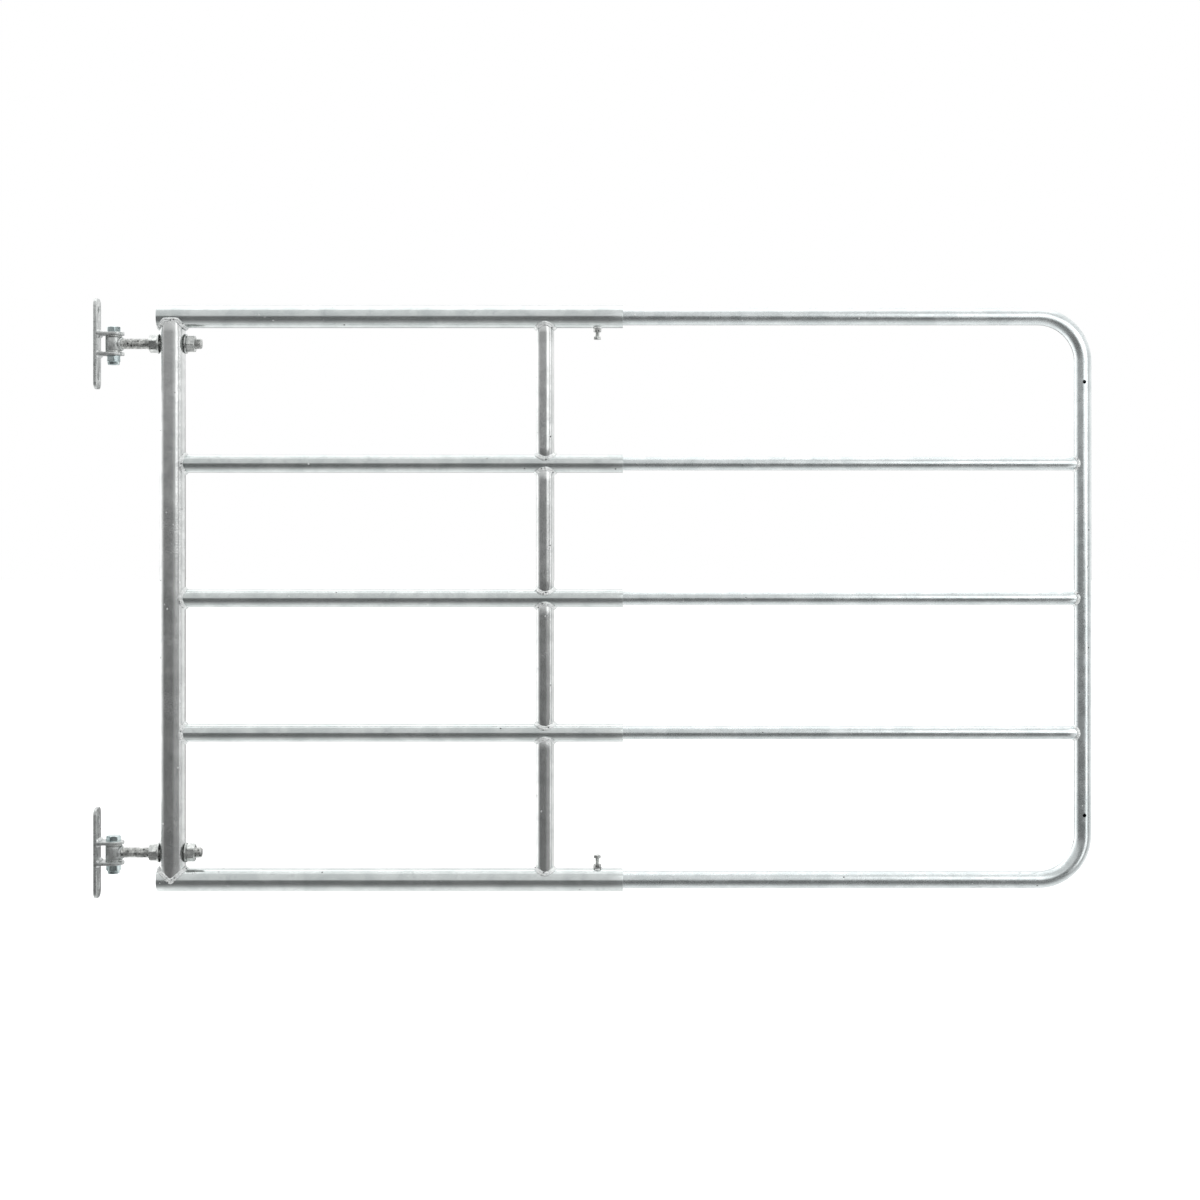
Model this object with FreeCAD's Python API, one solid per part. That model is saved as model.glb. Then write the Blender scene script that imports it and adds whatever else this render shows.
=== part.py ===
"""Extendable five-rail tube gate with the two post brackets that it hangs on.

The outer half is welded from a hinge upright, five sleeve rails and a middle upright. The inner half is
a bent bow with three rails, and all five of its tubes slide in the sleeves. Two clamp screws fix the
width. The gate hangs on two threaded eye bolts, whose nuts set the gap to the post.

Axes in millimetres: X runs along the closed gate from the post face, Y is the gate's thickness and Z is up.
The origin is the centre of the back face of the lower post plate, level with the lower hinge eye.
"""
import FreeCAD, Part

import math
import os

Vector = FreeCAD.Vector

# ---- driving dimensions: the gate as a whole ----
overall_height = 1100.0      # from the bottom of the lowest rail to the top of the highest
outer_rail_gap = 276.0       # from the top or bottom rail to the rail beside it, centre to centre
sleeve_length = 874.0        # length of the top and bottom sleeve rails
inner_half_length = 1030.0   # length of the sliding half, from its open ends to its outer edge
rest_overlap = 150.0         # how far the sliding half stands in the sleeves at rest
middle_upright_setback = 146.0   # from the sleeves' open ends back to the middle upright

# ---- driving dimensions: tubes, outside diameter and wall ----
hinge_upright_od = 48.3
hinge_upright_wall = 2.6
main_sleeve_od = 42.4
main_sleeve_wall = 2.6
mid_sleeve_od = 33.7
mid_sleeve_wall = 2.3
middle_upright_od = 33.7
middle_upright_wall = 2.3
bow_wall = 2.0
inner_rail_wall = 2.0
bow_bend_radius = 85.0       # to the centreline of the bent tube
rail_end_past_upright = 3.85 # the main sleeves' ends stand out past the hinge upright's side
cope_relief = 1.0            # a saddle cut stops this far short of the other tube's centreline

# ---- driving dimensions: post brackets ----
plate_thickness = 6.0
plate_width = 40.0
plate_height = 170.0
plate_corner_radius = 14.0
plate_hole_diameter = 13.0
plate_hole_spacing = 125.0
lug_thickness = 6.0
hinge_axis_offset = 34.0     # from the post face to the hinge axis

# ---- driving dimensions: hinge bolts, lock nuts and thrust washers ----
hinge_bolt_diameter = 16.0
hinge_bolt_tip_recess = 1.5  # the bolt ends this far inside the lock nut's mouth
hinge_bolt_chamfer = 1.5
hinge_bolt_flats = 24.0
hinge_bolt_head_height = 10.0
lock_nut_hex_height = 12.0
lock_nut_height = 17.5
lock_nut_collar_wall = 1.05  # round the nylon ring
lock_nut_collar_chamfer = 1.5
lock_nut_mouth_rim = 1.2     # inward lip that keeps the nylon ring in the collar
nylon_ring_height = 3.6
nylon_ring_width = 1.9       # from its bore to its outside
thrust_washer_diameter = 30.0
thrust_washer_thickness = 3.0
upper_hinge_bolt_turn = 50.0  # degrees, how each hexagon happens to stand
lower_hinge_bolt_turn = 13.0
upper_lock_nut_turn = 47.0
lower_lock_nut_turn = 10.0

# ---- driving dimensions: eye bolts with their nuts and washers ----
eye_outside_diameter = 30.0
eye_height = 25.0
eye_rod_diameter = 20.0
eye_to_upright = 111.0       # from the hinge axis to the centre of the hinge upright
eye_below_rail = 51.0        # from a main rail's centre to the eye bolt beside it
rod_end_projection = 12.0    # thread that stands out past the outer nut
rod_end_chamfer = 2.0
rod_nut_flats = 30.0
rod_nut_height = 16.0
rod_washer_diameter = 37.0
rod_washer_thickness = 3.0
rod_nut_turns = {"upper": (18.0, -6.0), "lower": (13.0, 33.0)}   # degrees, a corner above the -Y side

# ---- driving dimensions: clamp screws and their welded nuts ----
clamp_screw_diameter = 8.0
clamp_screw_chamfer = 0.8
clamp_screw_flats = 13.0
clamp_screw_head_height = 5.3
clamp_nut_height = 8.0
clamp_nut_sink = 1.5         # the welded nut is coped this deep over the round sleeve
clamp_setback = 48.0         # from the sleeve's open end to the clamp screw
upper_clamp_thread_showing = 8.5
lower_clamp_thread_showing = 12.0
clamp_nut_turn = 0.0         # degrees
clamp_screw_turn = 30.0

# ---- driving dimensions: chamfered corners of every hexagon ----
hexagon_face_share = 0.95    # diameter of the flat end face over the width across flats
hexagon_chamfer_angle = 30.0

# ---- driving dimensions: holes in the end upright ----
end_hole_diameter = 7.0
end_hole_from_rail = 123.0   # from the top or bottom rail's centre

# ---- named clearances ----
bow_clearance = 2.6          # on radius, the bow's arms in the main sleeves
inner_rail_clearance = 2.05  # on radius, the inner rails in the mid sleeves
thread_clearance = 0.05      # on radius, a nut on its thread
pin_clearance = 0.10         # on radius, an eye on its hinge bolt
bolt_hole_clearance = 0.5    # on radius, a lug or a washer round its bolt
rod_hole_clearance = 1.0     # on radius, the upright round the threaded rod
clamp_hole_clearance = 0.4   # on radius, the sleeve round the clamp screw
screw_tip_gap = 0.3          # between a clamp screw's tip and the sliding tube
washer_gap = 0.25            # between a thrust washer and what turns beside it

# ---- sizes worked out from what they fit ----
bow_od = main_sleeve_od - 2.0 * (main_sleeve_wall + bow_clearance)
inner_rail_od = mid_sleeve_od - 2.0 * (mid_sleeve_wall + inner_rail_clearance)
lug_gap = eye_height + 2.0 * thrust_washer_thickness + 4.0 * washer_gap
hinge_bolt_length = lug_gap + 2.0 * lug_thickness + lock_nut_height - hinge_bolt_tip_recess
nut_bore_radius = hinge_bolt_diameter / 2.0 + thread_clearance

# ---- places worked out from the values above ----
rail_spread = overall_height - main_sleeve_od
bottom_rail_z = -eye_below_rail
top_rail_z = bottom_rail_z + rail_spread
rail_heights = [
    bottom_rail_z,
    bottom_rail_z + outer_rail_gap,
    (bottom_rail_z + top_rail_z) / 2.0,
    top_rail_z - outer_rail_gap,
    top_rail_z,
]
mid_rail_names = ("lower_mid", "centre", "upper_mid")
lower_eye_z = bottom_rail_z + eye_below_rail
upper_eye_z = top_rail_z - eye_below_rail

upright_x = hinge_axis_offset + eye_to_upright
sleeve_start_x = upright_x - hinge_upright_od / 2.0 - rail_end_past_upright
sleeve_end_x = sleeve_start_x + sleeve_length
middle_upright_x = sleeve_end_x - middle_upright_setback
clamp_x = sleeve_end_x - clamp_setback
inner_start_x = sleeve_end_x - rest_overlap
end_upright_x = inner_start_x + inner_half_length - bow_od / 2.0

lug_inner_z = lug_gap / 2.0
lug_outer_z = lug_inner_z + lug_thickness
rod_washer_inner_x = hinge_upright_od / 2.0
rod_nut_inner_x = rod_washer_inner_x + rod_washer_thickness
rod_nut_outer_x = rod_nut_inner_x + rod_nut_height
rod_end_x = upright_x + rod_nut_outer_x + rod_end_projection


# ---- basic solids ----
def cylinder_z(radius, x, z_low, z_high):
    """Upright round bar between two heights."""
    return Part.makeCylinder(radius, z_high - z_low, Vector(x, 0, z_low), Vector(0, 0, 1))


def cylinder_x(radius, x_low, x_high, z):
    """Level round bar along the gate, between two distances from the post."""
    return Part.makeCylinder(radius, x_high - x_low, Vector(x_low, 0, z), Vector(1, 0, 0))


def ring_z(outside_radius, bore_radius, x, z_low, z_high):
    """Upright ring or tube."""
    return cylinder_z(outside_radius, x, z_low, z_high).cut(cylinder_z(bore_radius, x, z_low, z_high))


def ring_x(outside_radius, bore_radius, x_low, x_high, z):
    """Level ring or tube along the gate."""
    return cylinder_x(outside_radius, x_low, x_high, z).cut(cylinder_x(bore_radius, x_low, x_high, z))


def turned(points):
    """Solid of revolution about Z, from the (radius, height) corners of its half section."""
    corners = [Vector(radius, 0, height) for radius, height in points]
    face = Part.Face(Part.makePolygon(corners + corners[:1]))
    return face.revolve(Vector(0, 0, 0), Vector(0, 0, 1), 360)


def hexagon(flats, height, turn, chamfer_low=True, chamfer_high=True):
    """Hexagon bar on the XY plane with chamfered corners, its first corner turned from +X."""
    corner_radius = flats / math.sqrt(3.0)
    corners = []
    for number in range(7):
        angle = math.radians(turn + 60.0 * number)
        corners.append(Vector(corner_radius * math.cos(angle), corner_radius * math.sin(angle), 0))
    bar = Part.Face(Part.makePolygon(corners)).extrude(Vector(0, 0, height))
    face_radius = hexagon_face_share * flats / 2.0
    rise = (corner_radius - face_radius) * math.tan(math.radians(hexagon_chamfer_angle))
    section = [(0, 0), (face_radius, 0), (corner_radius, rise)] if chamfer_low else [(0, 0), (corner_radius, 0)]
    if chamfer_high:
        section += [(corner_radius, height - rise), (face_radius, height), (0, height)]
    else:
        section += [(corner_radius, height), (0, height)]
    return bar.common(turned(section))


def chamfered_bar(radius, length, chamfer):
    """Round bar from the XY plane upwards, with a chamfer at its far end."""
    return turned([(0, 0), (radius, 0), (radius, length - chamfer), (radius - chamfer, length), (0, length)])


def place(shape, x, z, axis="+z"):
    """Copy of a solid made on the XY plane, moved to (x, 0, z) with its own +Z along the named axis."""
    turns = {
        "+z": FreeCAD.Rotation(),
        "-z": FreeCAD.Rotation(Vector(1, 0, 0), 180),
        "+x": FreeCAD.Rotation(Vector(0, 1, 0), 90),
    }
    moved = shape.copy()
    moved.Placement = FreeCAD.Placement(Vector(x, 0, z), turns[axis]).multiply(moved.Placement)
    return moved


# ---- post brackets ----
def post_plate(z):
    """Flat plate with rounded corners and two fixing holes, its back face on X = 0."""
    plate = Part.makeBox(plate_thickness, plate_width, plate_height,
                         Vector(0, -plate_width / 2.0, z - plate_height / 2.0))
    corner_edges = [edge for edge in plate.Edges if abs(edge.tangentAt(edge.FirstParameter).x) > 0.99]
    plate = plate.makeFillet(plate_corner_radius, corner_edges)
    for side in (-1, 1):
        plate = plate.cut(cylinder_x(plate_hole_diameter / 2.0, 0, plate_thickness,
                                     z + side * plate_hole_spacing / 2.0))
    return plate


def lug(z_low):
    """Flat lug from the plate to the hinge axis, rounded about it, with a hole for the hinge bolt."""
    half_width = plate_width / 2.0
    bar = Part.makeBox(hinge_axis_offset - plate_thickness, plate_width, lug_thickness,
                       Vector(plate_thickness, -half_width, z_low))
    bar = bar.fuse(cylinder_z(half_width, hinge_axis_offset, z_low, z_low + lug_thickness))
    hole = cylinder_z(hinge_bolt_diameter / 2.0 + bolt_hole_clearance, hinge_axis_offset,
                      z_low, z_low + lug_thickness)
    return bar.cut(hole).removeSplitter()


def hinge_bolt(z, turn):
    """Hexagon bolt with its head on the upper lug."""
    shank = place(chamfered_bar(hinge_bolt_diameter / 2.0, hinge_bolt_length, hinge_bolt_chamfer),
                  hinge_axis_offset, z + lug_outer_z, "-z")
    head = place(hexagon(hinge_bolt_flats, hinge_bolt_head_height, turn, chamfer_low=False),
                 hinge_axis_offset, z + lug_outer_z)
    return head.fuse(shank).removeSplitter()


def lock_nut(z, turn):
    """Lock nut under the lower lug, with a groove in its collar for the nylon ring."""
    collar_radius = nut_bore_radius + nylon_ring_width + lock_nut_collar_wall
    body = hexagon(hinge_bolt_flats, lock_nut_hex_height, turn)
    collar_start = lock_nut_hex_height / 2.0
    collar = turned([(0, collar_start), (collar_radius, collar_start),
                     (collar_radius, lock_nut_height - lock_nut_collar_chamfer),
                     (collar_radius - lock_nut_collar_chamfer, lock_nut_height), (0, lock_nut_height)])
    bore = Part.makeCylinder(nut_bore_radius, lock_nut_height)
    groove = Part.makeCylinder(nut_bore_radius + nylon_ring_width, nylon_ring_height,
                               Vector(0, 0, lock_nut_height - lock_nut_mouth_rim - nylon_ring_height))
    nut = body.fuse(collar).cut(bore).cut(groove)
    return place(nut, hinge_axis_offset, z - lug_outer_z, "-z")


def nylon_ring(z):
    """Nylon locking ring in the collar of a lock nut."""
    top = z - lug_outer_z - (lock_nut_height - lock_nut_mouth_rim - nylon_ring_height)
    return ring_z(nut_bore_radius + nylon_ring_width, nut_bore_radius, hinge_axis_offset,
                  top - nylon_ring_height, top)


def thrust_washers(z):
    """Two washers, one above and one below the eye."""
    low = eye_height / 2.0 + washer_gap
    high = low + thrust_washer_thickness
    bore_radius = hinge_bolt_diameter / 2.0 + bolt_hole_clearance
    outside_radius = thrust_washer_diameter / 2.0
    return Part.makeCompound([
        ring_z(outside_radius, bore_radius, hinge_axis_offset, z + low, z + high),
        ring_z(outside_radius, bore_radius, hinge_axis_offset, z - high, z - low),
    ])


def build_post_brackets():
    """Everything that stays with the post."""
    nodes = {}
    turns = {"upper": (upper_hinge_bolt_turn, upper_lock_nut_turn),
             "lower": (lower_hinge_bolt_turn, lower_lock_nut_turn)}
    for name, z in (("upper", upper_eye_z), ("lower", lower_eye_z)):
        bolt_turn, nut_turn = turns[name]
        nodes[name + "_post_plate"] = post_plate(z)
        nodes[name + "_bracket_top_lug"] = lug(z + lug_inner_z)
        nodes[name + "_bracket_bottom_lug"] = lug(z - lug_outer_z)
        nodes[name + "_hinge_bolt"] = hinge_bolt(z, bolt_turn)
        nodes[name + "_hinge_lock_nut"] = lock_nut(z, nut_turn)
        nodes[name + "_thrust_washers"] = thrust_washers(z)
    nodes["lock_nut_nylon_rings"] = Part.makeCompound([nylon_ring(upper_eye_z), nylon_ring(lower_eye_z)])
    return nodes


# ---- eye bolts ----
def hinge_eye(z):
    """Short barrel that turns on the hinge bolt."""
    return ring_z(eye_outside_diameter / 2.0, hinge_bolt_diameter / 2.0 + pin_clearance,
                  hinge_axis_offset, z - eye_height / 2.0, z + eye_height / 2.0)


def eye_rod(z):
    """Threaded rod that is welded to the eye and passes through the hinge upright."""
    bar = place(chamfered_bar(eye_rod_diameter / 2.0, rod_end_x - hinge_axis_offset, rod_end_chamfer),
                hinge_axis_offset, z, "+x")
    eye = cylinder_z(eye_outside_diameter / 2.0, hinge_axis_offset, z - eye_height, z + eye_height)
    return bar.cut(eye)


def rod_nuts(z, turns):
    """The two nuts that hold the hinge upright on the rod, one on each side."""
    bore = Part.makeCylinder(eye_rod_diameter / 2.0 + thread_clearance, rod_nut_height)
    starts = (upright_x - rod_nut_outer_x, upright_x + rod_nut_inner_x)
    nuts = []
    for start, turn in zip(starts, turns):
        # with no turn, the hexagon's first corner points at -Y once its axis lies along X
        nut = hexagon(rod_nut_flats, rod_nut_height, -90.0 - turn).cut(bore)
        nuts.append(place(nut, start, z, "+x"))
    return Part.makeCompound(nuts)


def rod_washers(z):
    """The two flat washers between the rod's nuts and the hinge upright."""
    bore_radius = eye_rod_diameter / 2.0 + bolt_hole_clearance
    starts = (upright_x - rod_nut_inner_x, upright_x + rod_washer_inner_x)
    return Part.makeCompound([
        ring_x(rod_washer_diameter / 2.0, bore_radius, start, start + rod_washer_thickness, z)
        for start in starts
    ])


def build_eye_bolts():
    """The two eye bolts that swing on the hinge bolts."""
    nodes = {}
    for name, z in (("upper", upper_eye_z), ("lower", lower_eye_z)):
        nodes[name + "_hinge_eye"] = hinge_eye(z)
        nodes[name + "_eye_rod"] = eye_rod(z)
    return nodes


# ---- outer half ----
def rail_envelope(z, od):
    """Solid bar with a sleeve rail's outside, used to cope the uprights to it."""
    return cylinder_x(od / 2.0, sleeve_start_x, sleeve_end_x, z)


def hinge_upright():
    """Upright coped between the main sleeves, drilled through for both eye rods."""
    tube = ring_z(hinge_upright_od / 2.0, hinge_upright_od / 2.0 - hinge_upright_wall, upright_x,
                  bottom_rail_z + cope_relief, top_rail_z - cope_relief)
    for z in (bottom_rail_z, top_rail_z):
        tube = tube.cut(rail_envelope(z, main_sleeve_od))
    for z in (lower_eye_z, upper_eye_z):
        tube = tube.cut(cylinder_x(eye_rod_diameter / 2.0 + rod_hole_clearance,
                                   upright_x - hinge_upright_od, upright_x + hinge_upright_od, z))
    return tube


def main_sleeve(z, screw_side):
    """Top or bottom sleeve rail, with a hole for its clamp screw above (+1) or below (-1)."""
    tube = ring_x(main_sleeve_od / 2.0, main_sleeve_od / 2.0 - main_sleeve_wall,
                  sleeve_start_x, sleeve_end_x, z)
    hole_ends = sorted((z, z + screw_side * main_sleeve_od))
    hole = cylinder_z(clamp_screw_diameter / 2.0 + clamp_hole_clearance, clamp_x, hole_ends[0], hole_ends[1])
    return tube.cut(hole)


def mid_sleeve(z):
    """Sleeve rail that is coped to the side of the hinge upright."""
    tube = ring_x(mid_sleeve_od / 2.0, mid_sleeve_od / 2.0 - mid_sleeve_wall, upright_x, sleeve_end_x, z)
    upright = cylinder_z(hinge_upright_od / 2.0, upright_x, z - mid_sleeve_od, z + mid_sleeve_od)
    return tube.cut(upright)


def middle_upright_piece(number):
    """Piece of the middle upright between two rails, coped to both."""
    low_z, high_z = rail_heights[number], rail_heights[number + 1]
    piece = ring_z(middle_upright_od / 2.0, middle_upright_od / 2.0 - middle_upright_wall, middle_upright_x,
                   low_z + cope_relief, high_z - cope_relief)
    for index in (number, number + 1):
        od = main_sleeve_od if index in (0, len(rail_heights) - 1) else mid_sleeve_od
        piece = piece.cut(rail_envelope(rail_heights[index], od))
    return piece


def clamp_nut(z, screw_side):
    """Nut welded over the hole in a main sleeve."""
    radius = main_sleeve_od / 2.0
    nut = hexagon(clamp_screw_flats, clamp_nut_height + clamp_nut_sink, clamp_nut_turn, chamfer_low=False)
    nut = nut.cut(Part.makeCylinder(clamp_screw_diameter / 2.0 + thread_clearance,
                                    clamp_nut_height + clamp_nut_sink))
    nut = place(nut, clamp_x, z + screw_side * (radius - clamp_nut_sink), "+z" if screw_side > 0 else "-z")
    return nut.cut(rail_envelope(z, main_sleeve_od))


def build_outer_half():
    """Welded outer half with the nuts and washers that hold it on the eye rods."""
    nodes = {
        "hinge_upright": hinge_upright(),
        "top_sleeve_rail": main_sleeve(top_rail_z, -1),
        "bottom_sleeve_rail": main_sleeve(bottom_rail_z, 1),
        "upper_clamp_nut": clamp_nut(top_rail_z, -1),
        "lower_clamp_nut": clamp_nut(bottom_rail_z, 1),
    }
    for name, z in zip(mid_rail_names, rail_heights[1:-1]):
        nodes[name + "_sleeve_rail"] = mid_sleeve(z)
    for number in range(len(rail_heights) - 1):
        nodes["middle_upright_piece_%d" % (number + 1)] = middle_upright_piece(number)
    for name, z in (("upper", upper_eye_z), ("lower", lower_eye_z)):
        nodes[name + "_rod_nuts"] = rod_nuts(z, rod_nut_turns[name])
        nodes[name + "_rod_washers"] = rod_washers(z)
    return nodes


# ---- clamp screws ----
def clamp_screw(z, screw_side, thread_showing):
    """Hexagon screw whose tip stands just off the sliding tube inside the sleeve."""
    tip = bow_od / 2.0 + screw_tip_gap
    head_start = main_sleeve_od / 2.0 + clamp_nut_height + thread_showing
    shank_length = head_start - tip
    shank = place(chamfered_bar(clamp_screw_diameter / 2.0, shank_length, clamp_screw_chamfer),
                  0, shank_length, "-z")
    head = place(hexagon(clamp_screw_flats, clamp_screw_head_height, clamp_screw_turn, chamfer_low=False),
                 0, shank_length)
    screw = head.fuse(shank).removeSplitter()
    return place(screw, clamp_x, z + screw_side * tip, "+z" if screw_side > 0 else "-z")


def build_clamp_screws():
    """The two screws that fix the gate's width."""
    return {
        "upper_clamp_screw": clamp_screw(top_rail_z, -1, upper_clamp_thread_showing),
        "lower_clamp_screw": clamp_screw(bottom_rail_z, 1, lower_clamp_thread_showing),
    }


# ---- inner half ----
def bow_path():
    """Centreline of the bow: out along the top, down the end and back along the bottom."""
    radius = bow_bend_radius
    bend_x = end_upright_x - radius
    slant = radius * math.sqrt(0.5)
    top_bend = Part.Arc(Vector(bend_x, 0, top_rail_z),
                        Vector(bend_x + slant, 0, top_rail_z - radius + slant),
                        Vector(end_upright_x, 0, top_rail_z - radius))
    bottom_bend = Part.Arc(Vector(end_upright_x, 0, bottom_rail_z + radius),
                           Vector(bend_x + slant, 0, bottom_rail_z + radius - slant),
                           Vector(bend_x, 0, bottom_rail_z))
    return Part.Wire([
        Part.LineSegment(Vector(inner_start_x, 0, top_rail_z), Vector(bend_x, 0, top_rail_z)).toShape(),
        top_bend.toShape(),
        Part.LineSegment(Vector(end_upright_x, 0, top_rail_z - radius),
                         Vector(end_upright_x, 0, bottom_rail_z + radius)).toShape(),
        bottom_bend.toShape(),
        Part.LineSegment(Vector(bend_x, 0, bottom_rail_z), Vector(inner_start_x, 0, bottom_rail_z)).toShape(),
    ])


def inner_bow():
    """Tube bent into a U on its side: both long arms and the end upright in one piece."""
    path = bow_path()
    swept = []
    for radius in (bow_od / 2.0, bow_od / 2.0 - bow_wall):
        section = Part.Wire(Part.makeCircle(radius, Vector(inner_start_x, 0, top_rail_z), Vector(1, 0, 0)))
        swept.append(path.makePipeShell([section], True, False))
    bow = swept[0].cut(swept[1])
    for z in (bottom_rail_z + end_hole_from_rail, top_rail_z - end_hole_from_rail):
        hole = Part.makeCylinder(end_hole_diameter / 2.0, bow_od, Vector(end_upright_x, 0, z), Vector(0, -1, 0))
        bow = bow.cut(hole)
    return bow


def inner_rail(z):
    """Rail of the sliding half, coped to the end upright."""
    tube = ring_x(inner_rail_od / 2.0, inner_rail_od / 2.0 - inner_rail_wall, inner_start_x, end_upright_x, z)
    return tube.cut(cylinder_z(bow_od / 2.0, end_upright_x, z - bow_od, z + bow_od))


def build_inner_half():
    """The half that slides in the sleeves."""
    nodes = {"inner_bow": inner_bow()}
    for name, z in zip(mid_rail_names, rail_heights[1:-1]):
        nodes[name + "_inner_rail"] = inner_rail(z)
    return nodes


def main():
    """Build every node and write one STEP file for each."""
    os.makedirs("parts", exist_ok=True)
    nodes = {}
    for build in (build_post_brackets, build_eye_bolts, build_outer_half, build_clamp_screws,
                  build_inner_half):
        nodes.update(build())
    for name, shape in nodes.items():
        if not shape.isValid():
            raise ValueError("the solid of %s is not valid" % name)
        shape.exportStep("parts/%s.step" % name)


main()
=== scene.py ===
"""Looks of an extendable livestock panel gate: galvanised tubes, welds, threads and fittings."""
import logging
import math
from dataclasses import dataclass, field
from enum import Enum
from typing import Callable, Dict, Iterable, List, Optional, Sequence, Tuple, Union

import bmesh
import bpy
import numpy as np
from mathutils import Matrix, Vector


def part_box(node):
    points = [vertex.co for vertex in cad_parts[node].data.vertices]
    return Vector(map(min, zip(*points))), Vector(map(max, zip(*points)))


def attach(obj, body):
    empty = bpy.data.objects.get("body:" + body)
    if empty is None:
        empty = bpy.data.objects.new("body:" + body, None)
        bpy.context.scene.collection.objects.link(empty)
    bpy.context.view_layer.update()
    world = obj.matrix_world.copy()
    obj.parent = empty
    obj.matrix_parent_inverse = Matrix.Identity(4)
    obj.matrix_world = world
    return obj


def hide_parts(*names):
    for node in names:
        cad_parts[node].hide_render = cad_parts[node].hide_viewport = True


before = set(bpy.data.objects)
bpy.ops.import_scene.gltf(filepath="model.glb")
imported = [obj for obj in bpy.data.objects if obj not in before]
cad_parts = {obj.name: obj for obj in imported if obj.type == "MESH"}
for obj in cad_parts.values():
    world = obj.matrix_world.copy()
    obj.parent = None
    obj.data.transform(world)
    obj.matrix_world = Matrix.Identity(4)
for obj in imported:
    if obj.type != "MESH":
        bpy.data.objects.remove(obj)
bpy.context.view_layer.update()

Colour = Tuple[float, float, float]
Span = Tuple[float, float]
Amount = Union[float, np.ndarray]
Cut = Callable[[float, np.ndarray], np.ndarray]

MM = 0.001
FRONT = Vector((0.0, -1.0, 0.0))
LEVEL = Vector((1.0, 0.0, 0.0))
UPRIGHT = Vector((0.0, 0.0, 1.0))
SMOOTH_ANGLE = math.radians(32.0)

log = logging.getLogger("livestock_gate")


class Body(Enum):
    """Moving bodies that pieces ride on."""

    POST = "post_side"
    EYES = "eye_bolts"
    OUTER = "outer_half"
    INNER = "inner_half"
    UPPER_SCREW = "upper_clamp_screw"
    LOWER_SCREW = "lower_clamp_screw"


class Slot(Enum):
    """Material slots of the record."""

    TUBE = "galvanised_tube"
    BRACKET = "galvanised_bracket"
    FASTENER = "galvanised_fastener"
    BOLT = "zinc_plated_bolt"
    NYLON = "nylon_ring"


@dataclass(frozen=True)
class Place:
    """Box of one frame node at rest, in metres."""

    low: Vector
    high: Vector

    @classmethod
    def of(cls, node: str) -> "Place":
        """Box of the named node."""
        low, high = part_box(node)
        return cls(low, high)

    @property
    def centre(self) -> Vector:
        """Middle of the box."""
        return (self.low + self.high) / 2.0

    @property
    def size(self) -> Vector:
        """Side lengths of the box."""
        return self.high - self.low


def on_plane(x: float, z: float) -> Vector:
    """Point or direction in the gate's middle plane."""
    return Vector((x, 0.0, z))


# ---------------------------------------------------------------- finishes
class NodeSheet:
    """Adds and links the nodes of one tree."""

    def __init__(self, tree: bpy.types.NodeTree) -> None:
        """Take up a tree.

        Args:
            tree: tree of a material, a world or a geometry group.
        """
        self.tree = tree

    def add(self, kind: str, **settings: object) -> bpy.types.Node:
        """Add one node and set its properties.

        Args:
            kind: node type, such as ShaderNodeTexNoise.
            **settings: properties of the node.

        Returns:
            The new node.
        """
        node = self.tree.nodes.new(kind)
        for key, value in settings.items():
            setattr(node, key, value)
        return node

    def feed(self, socket: bpy.types.NodeSocket, value: object) -> None:
        """Link a socket to another, or set its value.

        Args:
            socket: input socket.
            value: socket to link from, or value to set.
        """
        if isinstance(value, bpy.types.NodeSocket):
            self.tree.links.new(value, socket)
        else:
            socket.default_value = value

    def maths(self, operation: str, first: object, second: object = 0.0) -> bpy.types.NodeSocket:
        """One Math node.

        Args:
            operation: Blender's name of the operation.
            first: socket or number.
            second: socket or number.

        Returns:
            The result socket.
        """
        node = self.add("ShaderNodeMath", operation=operation)
        self.feed(node.inputs[0], first)
        self.feed(node.inputs[1], second)
        return node.outputs[0]

    def span(self, value: bpy.types.NodeSocket, low: float, high: float,
             to_low: float = 0.0, to_high: float = 1.0) -> bpy.types.NodeSocket:
        """Map a range of a value smoothly to another range.

        Args:
            value: input socket.
            low: value that gives to_low.
            high: value that gives to_high.
            to_low: output at low.
            to_high: output at high.

        Returns:
            The mapped socket.
        """
        node = self.add("ShaderNodeMapRange", interpolation_type="SMOOTHSTEP")
        self.feed(node.inputs["Value"], value)
        for name, number in (("From Min", low), ("From Max", high), ("To Min", to_low), ("To Max", to_high)):
            node.inputs[name].default_value = number
        return node.outputs["Result"]

    def edge(self, value: bpy.types.NodeSocket, limits: Span) -> bpy.types.NodeSocket:
        """Smooth step from 0 at the first limit to 1 at the second, whichever is the higher.

        Args:
            value: input socket.
            limits: values that give 0 and 1.

        Returns:
            The stepped socket.
        """
        off, on = limits
        return self.span(value, off, on) if off < on else self.span(value, on, off, 1.0, 0.0)


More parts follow.
